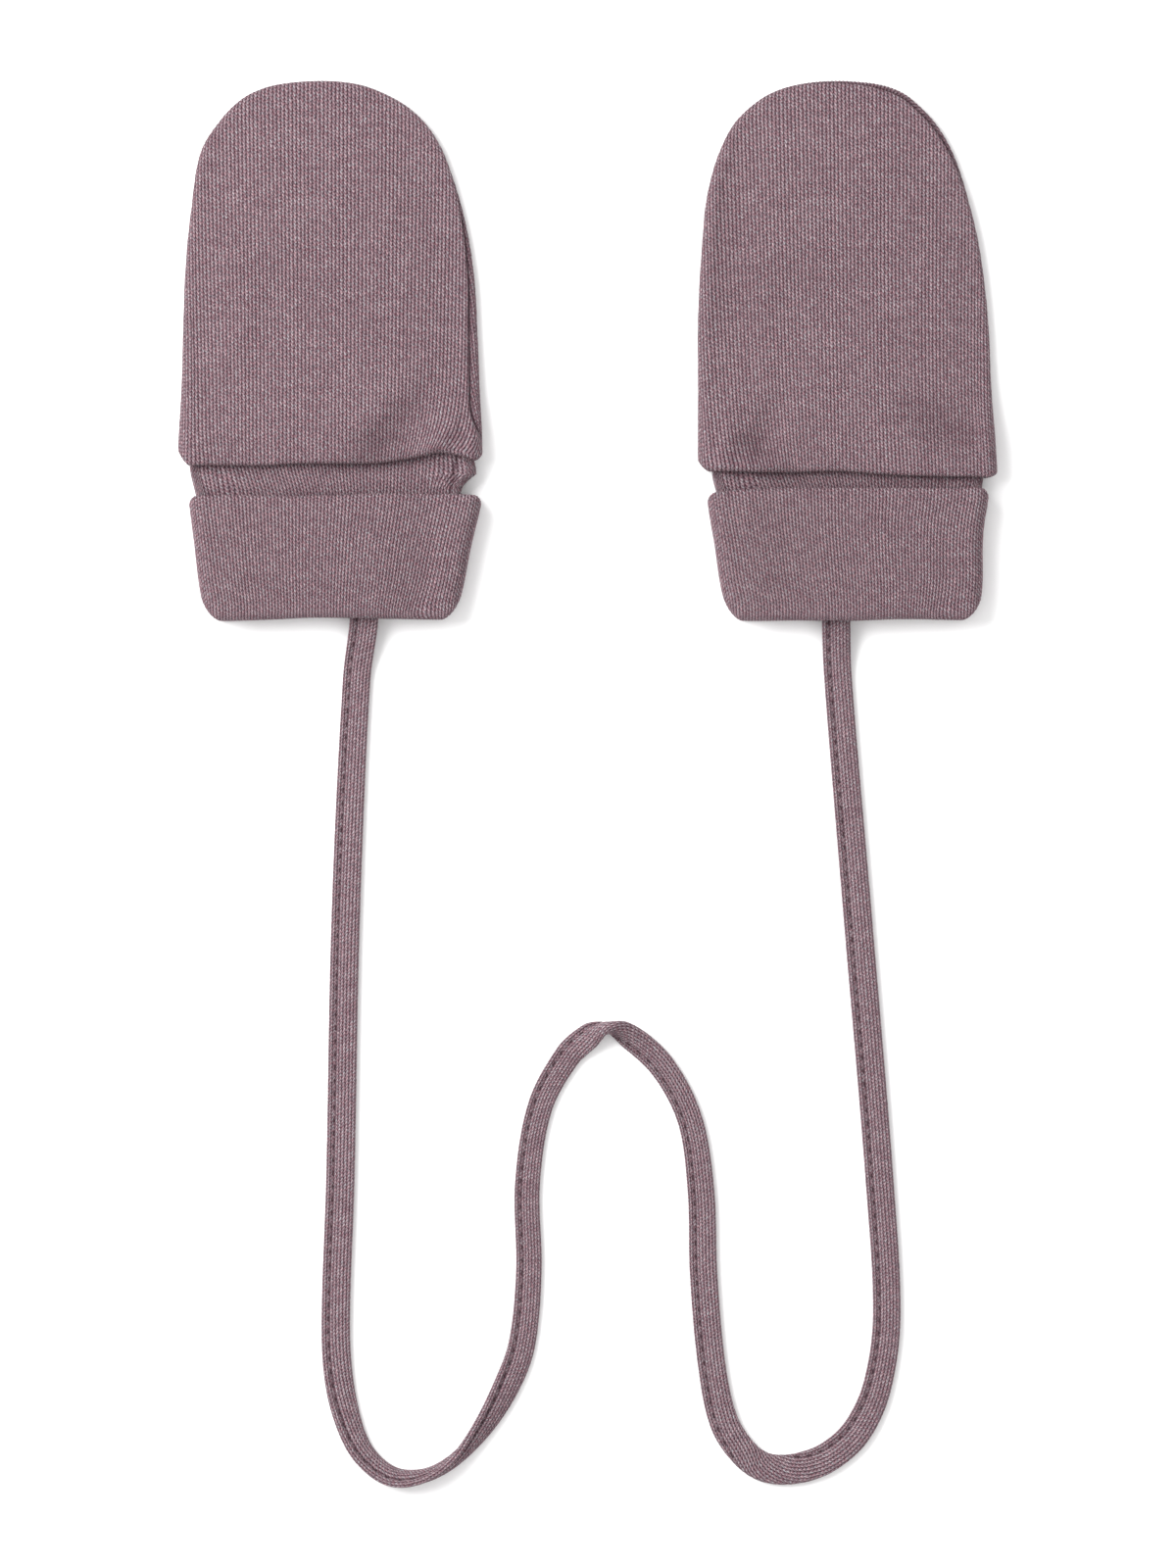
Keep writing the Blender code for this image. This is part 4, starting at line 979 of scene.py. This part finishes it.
def cord_shape():
    """The cord as rings of points, with its middle line, the way from ring to ring, its rows of
    stitches and how deep the painted shade on its yarn lies."""
    table, places, step = cord_stations()
    ribs = np.array(CORD_SECTION)
    line = walked(ribs)
    even = np.linspace(0, line[-1], CORD_WALES * COLUMNS_PER_WALE // 2 + 1)
    edge, half = np.interp(even, line, ribs[:, 0]), smooth(line, ribs[:, 1], even)
    half[0] = half[-1] = 0
    edge = np.concatenate([edge[::-1], edge[1:-1]])
    side = np.concatenate([half[::-1], -half[1:-1]])

    roll, size = np.radians(table["roll"]), table["size"]
    puff = np.clip(table["puff"], 0, 1)[:, None, None]
    e, t = edge * size[:, None], side * size[:, None]
    near = bell(edge - STITCH_LINE, STITCH_DIP_RUN) * np.sign(side)
    phase = np.cos(2 * math.pi * np.arange(len(places)) / STATIONS_PER_STITCH)[:, None]
    t = t - STITCH_DIP * near * (0.5 + 0.5 * phase)
    # Painted shade along the row of stitches, lighter between two stitches.
    shade = GROOVE_SHADE * bell(edge - STITCH_LINE, GROOVE_RUN)
    shade = shade * (1 - GROOVE_FADE + GROOVE_FADE * phase)
    oval_e, oval_t = flat_oval(np.arange(len(edge)) / len(edge) + roll[:, None] / (2 * math.pi))

    flat = np.stack([table["across"], table["up"]], -1)
    way = np.gradient(flat, axis=0)
    way /= np.linalg.norm(way, axis=1, keepdims=True)
    right = np.stack([way[:, 1], -way[:, 0], np.zeros(len(way))], -1)
    up = np.array((0.0, 0.0, 1.0))
    sewn = np.cos(roll)[:, None] * right + np.sin(roll)[:, None] * up
    face = -np.sin(roll)[:, None] * right + np.cos(roll)[:, None] * up
    stiff = e[..., None] * sewn[:, None] + t[..., None] * face[:, None]
    soft = (oval_e[..., None] * right[:, None] + oval_t[..., None] * up) * size[:, None, None]
    offsets = (1 - puff) * stiff + puff * soft
    height = np.maximum(table["lift"], ON_TABLE) - offsets[..., 2].min(1)
    centre = np.concatenate([flat, height[:, None]], 1)
    rings = centre[:, None] + offsets

    middle = bell(edge - STITCH_LINE, STITCH_SPOT)
    around = np.roll(rings, -1, axis=1) - np.roll(rings, 1, axis=1)
    rows = []
    for sign in (1, -1):
        weight = middle * (side * sign > 0)
        weight = (weight / weight.sum())[None, :, None]
        spots = (rings * weight).sum(1)
        ways = np.gradient(spots, axis=0)
        outward = np.cross(ways, (around * weight).sum(1))
        facing = np.abs(outward[:, 2]) > STITCH_FACING * np.linalg.norm(outward, axis=1)
        shown = facing & (spots[:, 2] > CLEAR_OF_TABLE)
        chosen = [k for k in range(0, len(places), STATIONS_PER_STITCH) if shown[k]]
        rows.append((spots[chosen], ways[chosen], outward[chosen]))
    return rings, centre, step, rows, shade


class Value:
    """A node's socket that can be used in sums."""

    def __init__(self, graph, socket):
        self.graph, self.socket = graph, socket

    def maths(self, operation, *others, clamp=False):
        """This value put through one operation, with what else that takes."""
        inputs = dict(enumerate((self, *others)))
        settings = {"operation": operation, "use_clamp": clamp}
        return self.graph.node("ShaderNodeMath", settings, inputs)

    def __add__(self, other):
        return self.maths("ADD", other)

    def __mul__(self, other):
        return self.maths("MULTIPLY", other)

    def __sub__(self, other):
        return self.maths("SUBTRACT", other)

    def __rsub__(self, other):
        return (self * -1) + other

    def __truediv__(self, other):
        return self.maths("DIVIDE", other)

    __radd__ = __add__
    __rmul__ = __mul__

    def floor(self):
        return self.maths("FLOOR")

    def size(self):
        """The value without its sign."""
        return self.maths("ABSOLUTE")

    def clamped(self):
        return self.maths("ADD", 0.0, clamp=True)

    def eased(self):
        """A soft step from 0 to 1."""
        t = self.clamped()
        return t * t * (3 - 2 * t)


class Graph:
    """A tree of nodes that is being put together."""

    def __init__(self, tree):
        self.tree = tree

    def feed(self, socket, value):
        """Links a value to a socket, or sets what it holds."""
        if isinstance(value, Value):
            self.tree.links.new(value.socket, socket)
        else:
            socket.default_value = value

    def node(self, kind, settings=None, inputs=None, output=0):
        """Makes a node with its settings, then its sockets' values or links, and gives an output."""
        made = self.tree.nodes.new(kind)
        for name, value in (settings or {}).items():
            setattr(made, name, value)
        for name, value in (inputs or {}).items():
            self.feed(made.inputs[name], value)
        return Value(self, made.outputs[output]) if made.outputs else None

    def parts(self, vector):
        """The three numbers of a vector."""
        split = self.tree.nodes.new("ShaderNodeSeparateXYZ")
        self.feed(split.inputs[0], vector)
        return [Value(self, socket) for socket in split.outputs]

    def vector(self, x, y, z=0.0):
        return self.node("ShaderNodeCombineXYZ", inputs={"X": x, "Y": y, "Z": z})


class Finish(Graph):
    """A material that is being put together from nodes."""

    def __init__(self, name):
        old = bpy.data.materials.get(name)
        if old:
            bpy.data.materials.remove(old)
        self.material = bpy.data.materials.new(name)
        self.material.use_nodes = True
        super().__init__(self.material.node_tree)
        self.tree.nodes.clear()

    def noise(self, place, scale, detail=2.0, roughness=0.5):
        inputs = {"Vector": place, "Scale": scale, "Detail": detail, "Roughness": roughness}
        return self.node("ShaderNodeTexNoise", {"noise_dimensions": "3D"}, inputs)

    def ramp(self, level, places, colours):
        """A colour for each level, read between the colours at some places."""
        colour = self.node("ShaderNodeValToRGB", inputs={"Fac": level})
        elements = colour.socket.node.color_ramp.elements
        for place in places[2:]:
            elements.new(place)
        for element, place, shade in zip(elements, places, colours):
            element.position, element.color = place, (*shade, 1)
        return colour

    def mixed(self, factor, a, b, blend="MIX"):
        """One colour mixed with another."""
        a, b = (colour if isinstance(colour, Value) else (*colour, 1) for colour in (a, b))
        settings = {"data_type": "RGBA", "blend_type": blend}
        return self.node("ShaderNodeMix", settings, {0: factor, 6: a, 7: b}, output=2)

    def shaded(self, colour, roughness, sheen, height=None, depth=0.0):
        """Ends the material in one cloth shader, with relief of some depth in millimetres."""
        inputs = {
            "Base Color": colour,
            "Roughness": roughness,
            "IOR": 1.45,
            "Specular IOR Level": 0.25,
            "Sheen Weight": sheen,
            "Sheen Roughness": 0.45,
            "Sheen Tint": (0.86, 0.78, 0.80, 1),
        }
        if height is not None:
            bump = {"Height": height, "Distance": depth * MM, "Strength": 1.0}
            inputs["Normal"] = self.node("ShaderNodeBump", inputs=bump)
        shader = self.node("ShaderNodeBsdfPrincipled", inputs=inputs)
        self.node("ShaderNodeOutputMaterial", inputs={"Surface": shader})
        return self.material


# How bright the yarn of each piece is, and how dark the gaps between its wales are, partly in the
# knit's own colour and partly as painted shade between the ribs
TONES = {"cord_binding": (0.86, 0.54), "hand_jersey": (0.82, 0.55), "cuff_jersey": (0.82, 0.52)}

# A knit stitch: the share of its width at which its legs meet, how many courses they rise over the
# width, how wide the gap to the next wale is, and how far the wales and the courses wander
STITCH_FOOT = 0.62
LEG_RISE = 1.45
GAP_WIDTH = 0.30
WALE_WANDER = 0.30
COURSE_WANDER = 0.7

# How bright the yarn is between the legs, what a leg adds, and what the painted light on gathered
# wales adds
BETWEEN_LEGS = 0.33
ON_LEGS = 0.58
WHEN_GATHERED = 0.29

# How bright the yarn varies: its right legs lie in painted shade, and it varies from stitch to stitch,
# by fibre, along a course, slowly
RIGHT_LEG_SHADE = 0.08
BY_STITCH = 0.19
BY_FIBRE = 1.8
BY_COURSE = 0.24
SLOWLY = 0.05

# The levels at which the yarn has each of its four colours, the tints of its fibres and their
# contrast, and how fully the painted shade takes the colour of the gaps
COLOUR_LEVELS = (0.0, 0.34, 0.66, 1.0)
ROSE_TINT = (1.12, 0.91, 0.93)
GREY_TINT = (0.90, 1.045, 1.045)
TINT_CONTRAST = 4.0
DEEPEST_SHADE = 0.75

# The jersey's soft sheen, and the sewing thread's twist and relief in millimetres
KNIT_SHEEN = 0.06
THREAD_TWIST = 0.35
THREAD_RELIEF = 0.03


def knit_finish(name, settings):
    """Fine heathered jersey: rows of stitches, with each wale half a course from the next."""
    tone, ribs = TONES[name]
    colours = [tuple(getattr(settings, part)) for part in ("gap", "shade", "yarn", "fleck")]
    finish = Finish(name)
    place = finish.node("ShaderNodeUVMap", {"uv_map": KNIT})
    wobble = finish.noise(place, 0.55, 1.0)
    wave = finish.noise(place, 0.35, 1.0)
    u, v, _ = finish.parts(place)
    u = u + (wobble - 0.5) * WALE_WANDER
    v = v + (wave - 0.5) * COURSE_WANDER
    wale = u.floor()
    x = u - wale
    phase = v + wale * 0.5 - LEG_RISE * (x - STITCH_FOOT).size()
    course = phase.floor()
    apart = (2 * (phase - course) - 1).size()
    leg = 1 - apart * apart
    # A gap is deepest where no leg crosses it. The gap darkens the yarn, partly in the knit's own
    # colour and partly as painted shade between the ribs.
    gap = (1 - (0.5 - (x - 0.5).size()) / GAP_WIDTH).eased() * (1.2 - 0.45 * leg)
    right = x.maths("GREATER_THAN", STITCH_FOOT)
    marks = finish.node("ShaderNodeAttribute", {"attribute_name": PAINTED_SHADING}, output=1)
    shade, gather, _ = finish.parts(marks)

    stitch = finish.vector(wale, course)
    chance = finish.node("ShaderNodeTexWhiteNoise", {"noise_dimensions": "3D"}, {"Vector": stitch})
    slow = finish.noise(place, 0.09, 3.0, 0.6)
    yarn = finish.noise(finish.vector(u * 0.05, v * 0.9), 1.0, 3.0, 0.6)
    fibre = finish.noise(finish.vector(u * 2.7, v * 2.5), 1.0, 2.0, 0.7)
    rose = finish.noise(finish.vector(u * 1.5, v * 1.3, 4.0), 1.0, 2.0, 0.6)
    # Gathered wales get painted light on their tops and deeper painted shade in the gaps between them.
    level = BETWEEN_LEGS + ON_LEGS * leg * (1 - 0.6 * gather) + WHEN_GATHERED * gather
    # The right legs of the stitches are painted in shade.
    level = level - ribs * gap * (1 + 0.7 * gather) - RIGHT_LEG_SHADE * right
    for grain, share in ((chance, BY_STITCH), (fibre, BY_FIBRE), (yarn, BY_COURSE), (slow, SLOWLY)):
        level = level + (grain - 0.5) * share
    colour = finish.ramp(level * tone, COLOUR_LEVELS, colours)
    warm = ((rose - 0.5) * TINT_CONTRAST + 0.5).clamped()
    tint = finish.mixed(warm, ROSE_TINT, GREY_TINT)
    colour = finish.mixed(1.0, colour, tint, "MULTIPLY")
    # The painted shade darkens the yarn towards the colour of the gaps.
    colour = finish.mixed((shade * DEEPEST_SHADE).clamped(), colour, colours[0])
    height = (1 - gap) * 0.7 + leg * 0.2 + fibre * 0.2
    return finish.shaded(colour, 0.86 + 0.1 * fibre, KNIT_SHEEN, height, settings.relief)


def thread_finish(name, colour):
    """Sewing thread: two plies twisted round each other."""
    finish = Finish(name)
    x, y, z = finish.parts(finish.node("ShaderNodeTexCoord", output=3))
    twist = ((x * 0.6 + y + z * 0.4) * (2 * math.pi / (THREAD_TWIST * MM))).maths("SINE")
    # The plies are painted darker where their relief is lowest, as shade in the grooves between them.
    dark = [0.45 * part for part in colour]
    shade = finish.mixed((0.5 + 0.5 * twist).clamped(), dark, colour)
    return finish.shaded(shade, 0.8, 0.1, twist, THREAD_RELIEF)


class KnitSettings(bpy.types.PropertyGroup):
    """The jersey's colours and relief."""

    # The gap colour stands partly for the knit's own darker yarn and partly for painted shade between
    # the stitches and in seams and troughs.
    gap: bpy.props.FloatVectorProperty(
        name="Gaps", description="Colour between the stitches", subtype="COLOR",
        default=(0.046, 0.020, 0.028),
    )
    shade: bpy.props.FloatVectorProperty(
        name="Shaded yarn", description="Colour of the yarn's darker side", subtype="COLOR",
        default=(0.118, 0.067, 0.083),
    )
    yarn: bpy.props.FloatVectorProperty(
        name="Yarn", description="Main colour of the yarn", subtype="COLOR",
        default=(0.226, 0.162, 0.180),
    )
    fleck: bpy.props.FloatVectorProperty(
        name="Flecks", description="Palest fibres in the yarn", subtype="COLOR",
        default=(0.42, 0.375, 0.39),
    )
    rib_depth: bpy.props.FloatProperty(
        name="Rib depth", description="How deep the knitted ribs of the hand part are", unit="LENGTH",
        default=0.17 * MM,
    )
    cuff_rib_depth: bpy.props.FloatProperty(
        name="Cuff rib depth", description="How deep the knitted ribs of the cuffs are", unit="LENGTH",
        default=0.24 * MM,
    )
    relief: bpy.props.FloatProperty(
        name="Stitch relief", description="How far the stitches stand out", min=0.0, default=0.22
    )


class SewingSettings(bpy.types.PropertyGroup):
    """The stitches along the cord."""

    spacing: bpy.props.FloatProperty(
        name="Spacing", description="From one stitch to the next", unit="LENGTH", default=2.9 * MM
    )
    length: bpy.props.FloatProperty(
        name="Length", description="Length of thread that shows in a stitch", unit="LENGTH",
        default=1.7 * MM,
    )
    thickness: bpy.props.FloatProperty(
        name="Thickness", description="Thickness of the thread", unit="LENGTH", default=0.28 * MM
    )
    colour: bpy.props.FloatVectorProperty(
        name="Thread", description="Colour of the thread", subtype="COLOR",
        default=(0.060, 0.030, 0.038),
    )


class StageSettings(bpy.types.PropertyGroup):
    """The light, the floor and the camera."""

    power: bpy.props.FloatProperty(
        name="Lamp", description="Power of the large soft lamp in watts", min=0.0, default=20.0
    )
    fill: bpy.props.FloatProperty(
        name="Fill", description="Strength of the even light from all sides", min=0.0, default=1.0
    )
    floor: bpy.props.FloatVectorProperty(
        name="Floor", description="Colour of the floor", subtype="COLOR", default=(0.98, 0.98, 0.98)
    )
    lens: bpy.props.FloatProperty(
        name="Lens", description="Focal length in millimetres", min=20.0, default=250.0
    )


# What the camera sees: the middle of its view and how tall the view is, at the cloth
VIEW_MIDDLE = (0.1, -95.2)
VIEW_HEIGHT = 344.0
CLOTH_LEVEL = 4.0
SENSOR = 36.0
CLIPPED_AT = (0.05, 20.0)

# Where the lamp stands and how large it is, how far the floor reaches, both in metres, and how fine
# the floor's grain is
LAMP_PLACE = (-0.75, 0.35, 1.0)
LAMP_SIZE = 0.9
FLOOR_REACH = 3.0
FLOOR_GRAIN = 40.0

# The even light is stronger from above than from the sides.
LOW_FILL = 0.30
HIGH_FILL = 1.35


class MITTENS_OT_stage(bpy.types.Operator):
    """Makes the floor, the soft light and the camera that looks straight down"""

    bl_idname = "mittens.stage"
    bl_label = "Stage"

    def execute(self, context):
        settings = context.scene.mitten_stage
        self.camera(context, settings.lens)
        self.light(context, settings)
        self.floor(context, settings.floor)
        context.scene.view_settings.view_transform = "Standard"
        return {"FINISHED"}

    def camera(self, context, lens):
        data = bpy.data.cameras.new("camera")
        data.lens, data.sensor_width, data.sensor_fit = lens, SENSOR, "AUTO"
        eye = bpy.data.objects.new("camera", data)
        distance = VIEW_HEIGHT * lens / SENSOR + CLOTH_LEVEL
        eye.location = (VIEW_MIDDLE[0] * MM, VIEW_MIDDLE[1] * MM, distance * MM)
        data.clip_start, data.clip_end = CLIPPED_AT
        context.scene.collection.objects.link(eye)
        context.scene.camera = eye

    def light(self, context, settings):
        data = bpy.data.lights.new("soft_lamp", "AREA")
        data.shape, data.size, data.energy = "DISK", LAMP_SIZE, settings.power
        lamp = bpy.data.objects.new("soft_lamp", data)
        lamp.location = LAMP_PLACE
        aim = Vector((0, VIEW_MIDDLE[1] * MM, 0)) - lamp.location
        lamp.rotation_euler = aim.to_track_quat("-Z", "Y").to_euler()
        context.scene.collection.objects.link(lamp)
        world = bpy.data.worlds.new("studio")
        context.scene.world = world
        world.use_nodes = True
        graph = Graph(world.node_tree)
        inputs = world.node_tree.nodes["Background"].inputs
        height = graph.parts(graph.node("ShaderNodeTexCoord", output="Generated"))[2]
        sky = {"Value": height, "From Min": 0, "From Max": 1, "To Min": LOW_FILL, "To Max": HIGH_FILL}
        graph.feed(inputs["Color"], (1, 1, 1, 1))
        graph.feed(inputs["Strength"], graph.node("ShaderNodeMapRange", inputs=sky) * settings.fill)

    def floor(self, context, colour):
        mesh = bpy.data.meshes.new("floor")
        signs = ((-1, -1), (1, -1), (1, 1), (-1, 1))
        corners = [(FLOOR_REACH * x, FLOOR_REACH * y, 0) for x, y in signs]
        mesh.from_pydata(corners, [], [(0, 1, 2, 3)])
        ground = bpy.data.objects.new("floor", mesh)
        context.scene.collection.objects.link(ground)
        finish = Finish("pale_floor")
        grain = finish.noise(finish.node("ShaderNodeTexCoord", output=3), FLOOR_GRAIN)
        mesh.materials.append(finish.shaded(tuple(colour) + (1,), 0.7 + 0.1 * grain, 0.0))


class MITTENS_OT_cord(bpy.types.Operator):
    """Makes the flat cord and the row of stitches that closes it"""

    bl_idname = "mittens.cord"
    bl_label = "Cord"

    def execute(self, context):
        knit, sewing = context.scene.mitten_knit, context.scene.mitten_sewing
        finish = knit_finish("cord_binding", knit)
        rings, centre, step, rows, shade = cord_shape()
        wale = np.arange(rings.shape[1] + 1) / COLUMNS_PER_WALE
        course = np.arange(len(rings)) * step / CORD_COURSE
        place = np.stack(np.broadcast_arrays(wale, course[:, None]), -1)
        cloth = Cloth()
        rib_depth = knit.rib_depth / MM * CORD_RIB_SHARE
        index = cloth.add(rings, rib_height(wale[:-1], rib_depth), shade)
        closed = np.pad(index, ((0, 0), (0, 1)), mode="wrap")
        cloth.patch(closed, place, flip=True)
        cloth.cap(index[0], place[0, :-1])
        cloth.cap(index[-1, ::-1], place[-1, :-1])
        cord = cloth.made("flat_cord", np.zeros(3), finish)
        stitches = self.stitches(context, rows, sewing)
        for piece in (cord, stitches):
            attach(piece, "root")
        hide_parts("cord")
        (centre * MM).tolist()
        return {"FINISHED"}

    def stitches(self, context, rows, sewing):
        """One stitch on each point of the rows, by Geometry Nodes."""
        spots, ways, faces = (np.concatenate(parts) for parts in zip(*rows))
        mesh = bpy.data.meshes.new("stitches")
        mesh.from_pydata((spots * MM).tolist(), [], [])
        for name, vectors in (("way", ways), ("face", faces)):
            layer = mesh.attributes.new(name, "FLOAT_VECTOR", "POINT")
            layer.data.foreach_set("vector", vectors.ravel())
        holder = bpy.data.objects.new("cord_stitches", mesh)
        context.scene.collection.objects.link(holder)
        finish = thread_finish("cord_thread", tuple(sewing.colour))
        tree, sockets = stitch_tree(finish)
        maker = holder.modifiers.new("Stitches", "NODES")
        maker.node_group = tree
        for name, value in (("Length", sewing.length), ("Thickness", sewing.thickness)):
            maker[sockets[name]] = value
        context.view_layer.update()
        ready = holder.evaluated_get(context.evaluated_depsgraph_get())
        done = bpy.data.meshes.new_from_object(ready)
        holder.modifiers.clear()
        holder.data = done
        if not done.polygons:
            raise RuntimeError("the cord has no stitches")
        return holder


# How a stitch is bowed, in thicknesses of the thread: how deep its ends sink and how high it rises,
# and how finely it is divided along and round
STITCH_SINK = 0.9
STITCH_BOW = 1.1
STITCH_STEPS = 6
THREAD_SIDES = 6


def stitch_tree(material):
    """Geometry Nodes that lay a bowed stitch of thread on each point, along its way."""
    tree = bpy.data.node_groups.new("Cord stitches", "GeometryNodeTree")
    face = tree.interface
    face.new_socket("Geometry", in_out="INPUT", socket_type="NodeSocketGeometry")
    sockets = {}
    for name in ("Length", "Thickness"):
        socket = face.new_socket(name, in_out="INPUT", socket_type="NodeSocketFloat")
        sockets[name] = socket.identifier
    face.new_socket("Geometry", in_out="OUTPUT", socket_type="NodeSocketGeometry")

    graph = Graph(tree)
    node = graph.node
    entry = tree.nodes.new("NodeGroupInput")
    points, length, thickness = (Value(graph, socket) for socket in list(entry.outputs)[:3])
    sink = thickness * -STITCH_SINK
    bow = node(
        "GeometryNodeCurveQuadraticBezier",
        inputs={
            "Resolution": STITCH_STEPS,
            "Start": graph.vector(length * -0.5, 0.0, sink),
            "Middle": graph.vector(0.0, 0.0, thickness * STITCH_BOW),
            "End": graph.vector(length * 0.5, 0.0, sink),
        },
    )
    circle = {"Resolution": THREAD_SIDES, "Radius": thickness * 0.5}
    ring = node("GeometryNodeCurvePrimitiveCircle", inputs=circle)
    ends = {"Curve": bow, "Profile Curve": ring, "Fill Caps": True}
    thread = node("GeometryNodeCurveToMesh", inputs=ends)
    ways, faces = (
        node("GeometryNodeInputNamedAttribute", {"data_type": "FLOAT_VECTOR"}, {"Name": name})
        for name in ("way", "face")
    )
    turned = node(
        "FunctionNodeAxesToRotation",
        {"primary_axis": "X", "secondary_axis": "Z"},
        {"Primary Axis": ways, "Secondary Axis": faces},
    )
    dots = node("GeometryNodeMeshToPoints", inputs={"Mesh": points})
    places = {"Points": dots, "Instance": thread, "Rotation": turned}
    laid = node("GeometryNodeInstanceOnPoints", inputs=places)
    real = node("GeometryNodeRealizeInstances", inputs={"Geometry": laid})
    soft = node("GeometryNodeSetShadeSmooth", inputs={0: real})
    dyed = node("GeometryNodeSetMaterial", inputs={"Geometry": soft, "Material": material})
    node("NodeGroupOutput", inputs={"Geometry": dyed})
    return tree, sockets


class MITTENS_OT_hands(bpy.types.Operator):
    """Makes the front and back panels of both mittens"""

    bl_idname = "mittens.hands"
    bl_label = "Hand panels"

    def execute(self, context):
        knit = context.scene.mitten_knit
        finish = knit_finish("hand_jersey", knit)
        for mitten in (LEFT, RIGHT):
            hand = Hand(mitten)
            for panel in ("front", "back"):
                hand_panel(hand, panel, knit.rib_depth / MM, finish)
        return {"FINISHED"}


class MITTENS_OT_cuffs(bpy.types.Operator):
    """Makes the doubled, turned-up cuffs of both mittens"""

    bl_idname = "mittens.cuffs"
    bl_label = "Cuffs"

    def execute(self, context):
        knit = context.scene.mitten_knit
        finish = knit_finish("cuff_jersey", knit)
        for mitten in (LEFT, RIGHT):
            cuff_piece(mitten, knit.cuff_rib_depth / MM, finish)
        return {"FINISHED"}


class MITTENS_PT_panel(bpy.types.Panel):
    """Lists the pieces of the mittens and their settings"""

    bl_idname = "MITTENS_PT_panel"
    bl_label = "Baby Mittens"
    bl_space_type = "VIEW_3D"
    bl_region_type = "UI"
    bl_category = "Mittens"

    def draw(self, context):
        for setting in SETTINGS:
            group = getattr(context.scene, setting)
            box = self.layout.box()
            for name in group.bl_rna.properties.keys():
                if name not in ("rna_type", "name"):
                    box.prop(group, name)
        for operator in OPERATORS:
            self.layout.operator(operator.bl_idname)


OPERATORS = (MITTENS_OT_stage, MITTENS_OT_cord, MITTENS_OT_hands, MITTENS_OT_cuffs)
SETTINGS = {"mitten_knit": KnitSettings, "mitten_sewing": SewingSettings, "mitten_stage": StageSettings}


def register():
    for made in (*SETTINGS.values(), *OPERATORS, MITTENS_PT_panel):
        bpy.utils.register_class(made)
    for name, group in SETTINGS.items():
        setattr(bpy.types.Scene, name, bpy.props.PointerProperty(type=group))


def unregister():
    for name in SETTINGS:
        delattr(bpy.types.Scene, name)
    for made in reversed((*SETTINGS.values(), *OPERATORS, MITTENS_PT_panel)):
        bpy.utils.unregister_class(made)


def main():
    register()
    bpy.ops.mittens.stage()
    bpy.ops.mittens.cord()
    bpy.ops.mittens.hands()
    bpy.ops.mittens.cuffs()


if __name__ == "__main__":
    main()
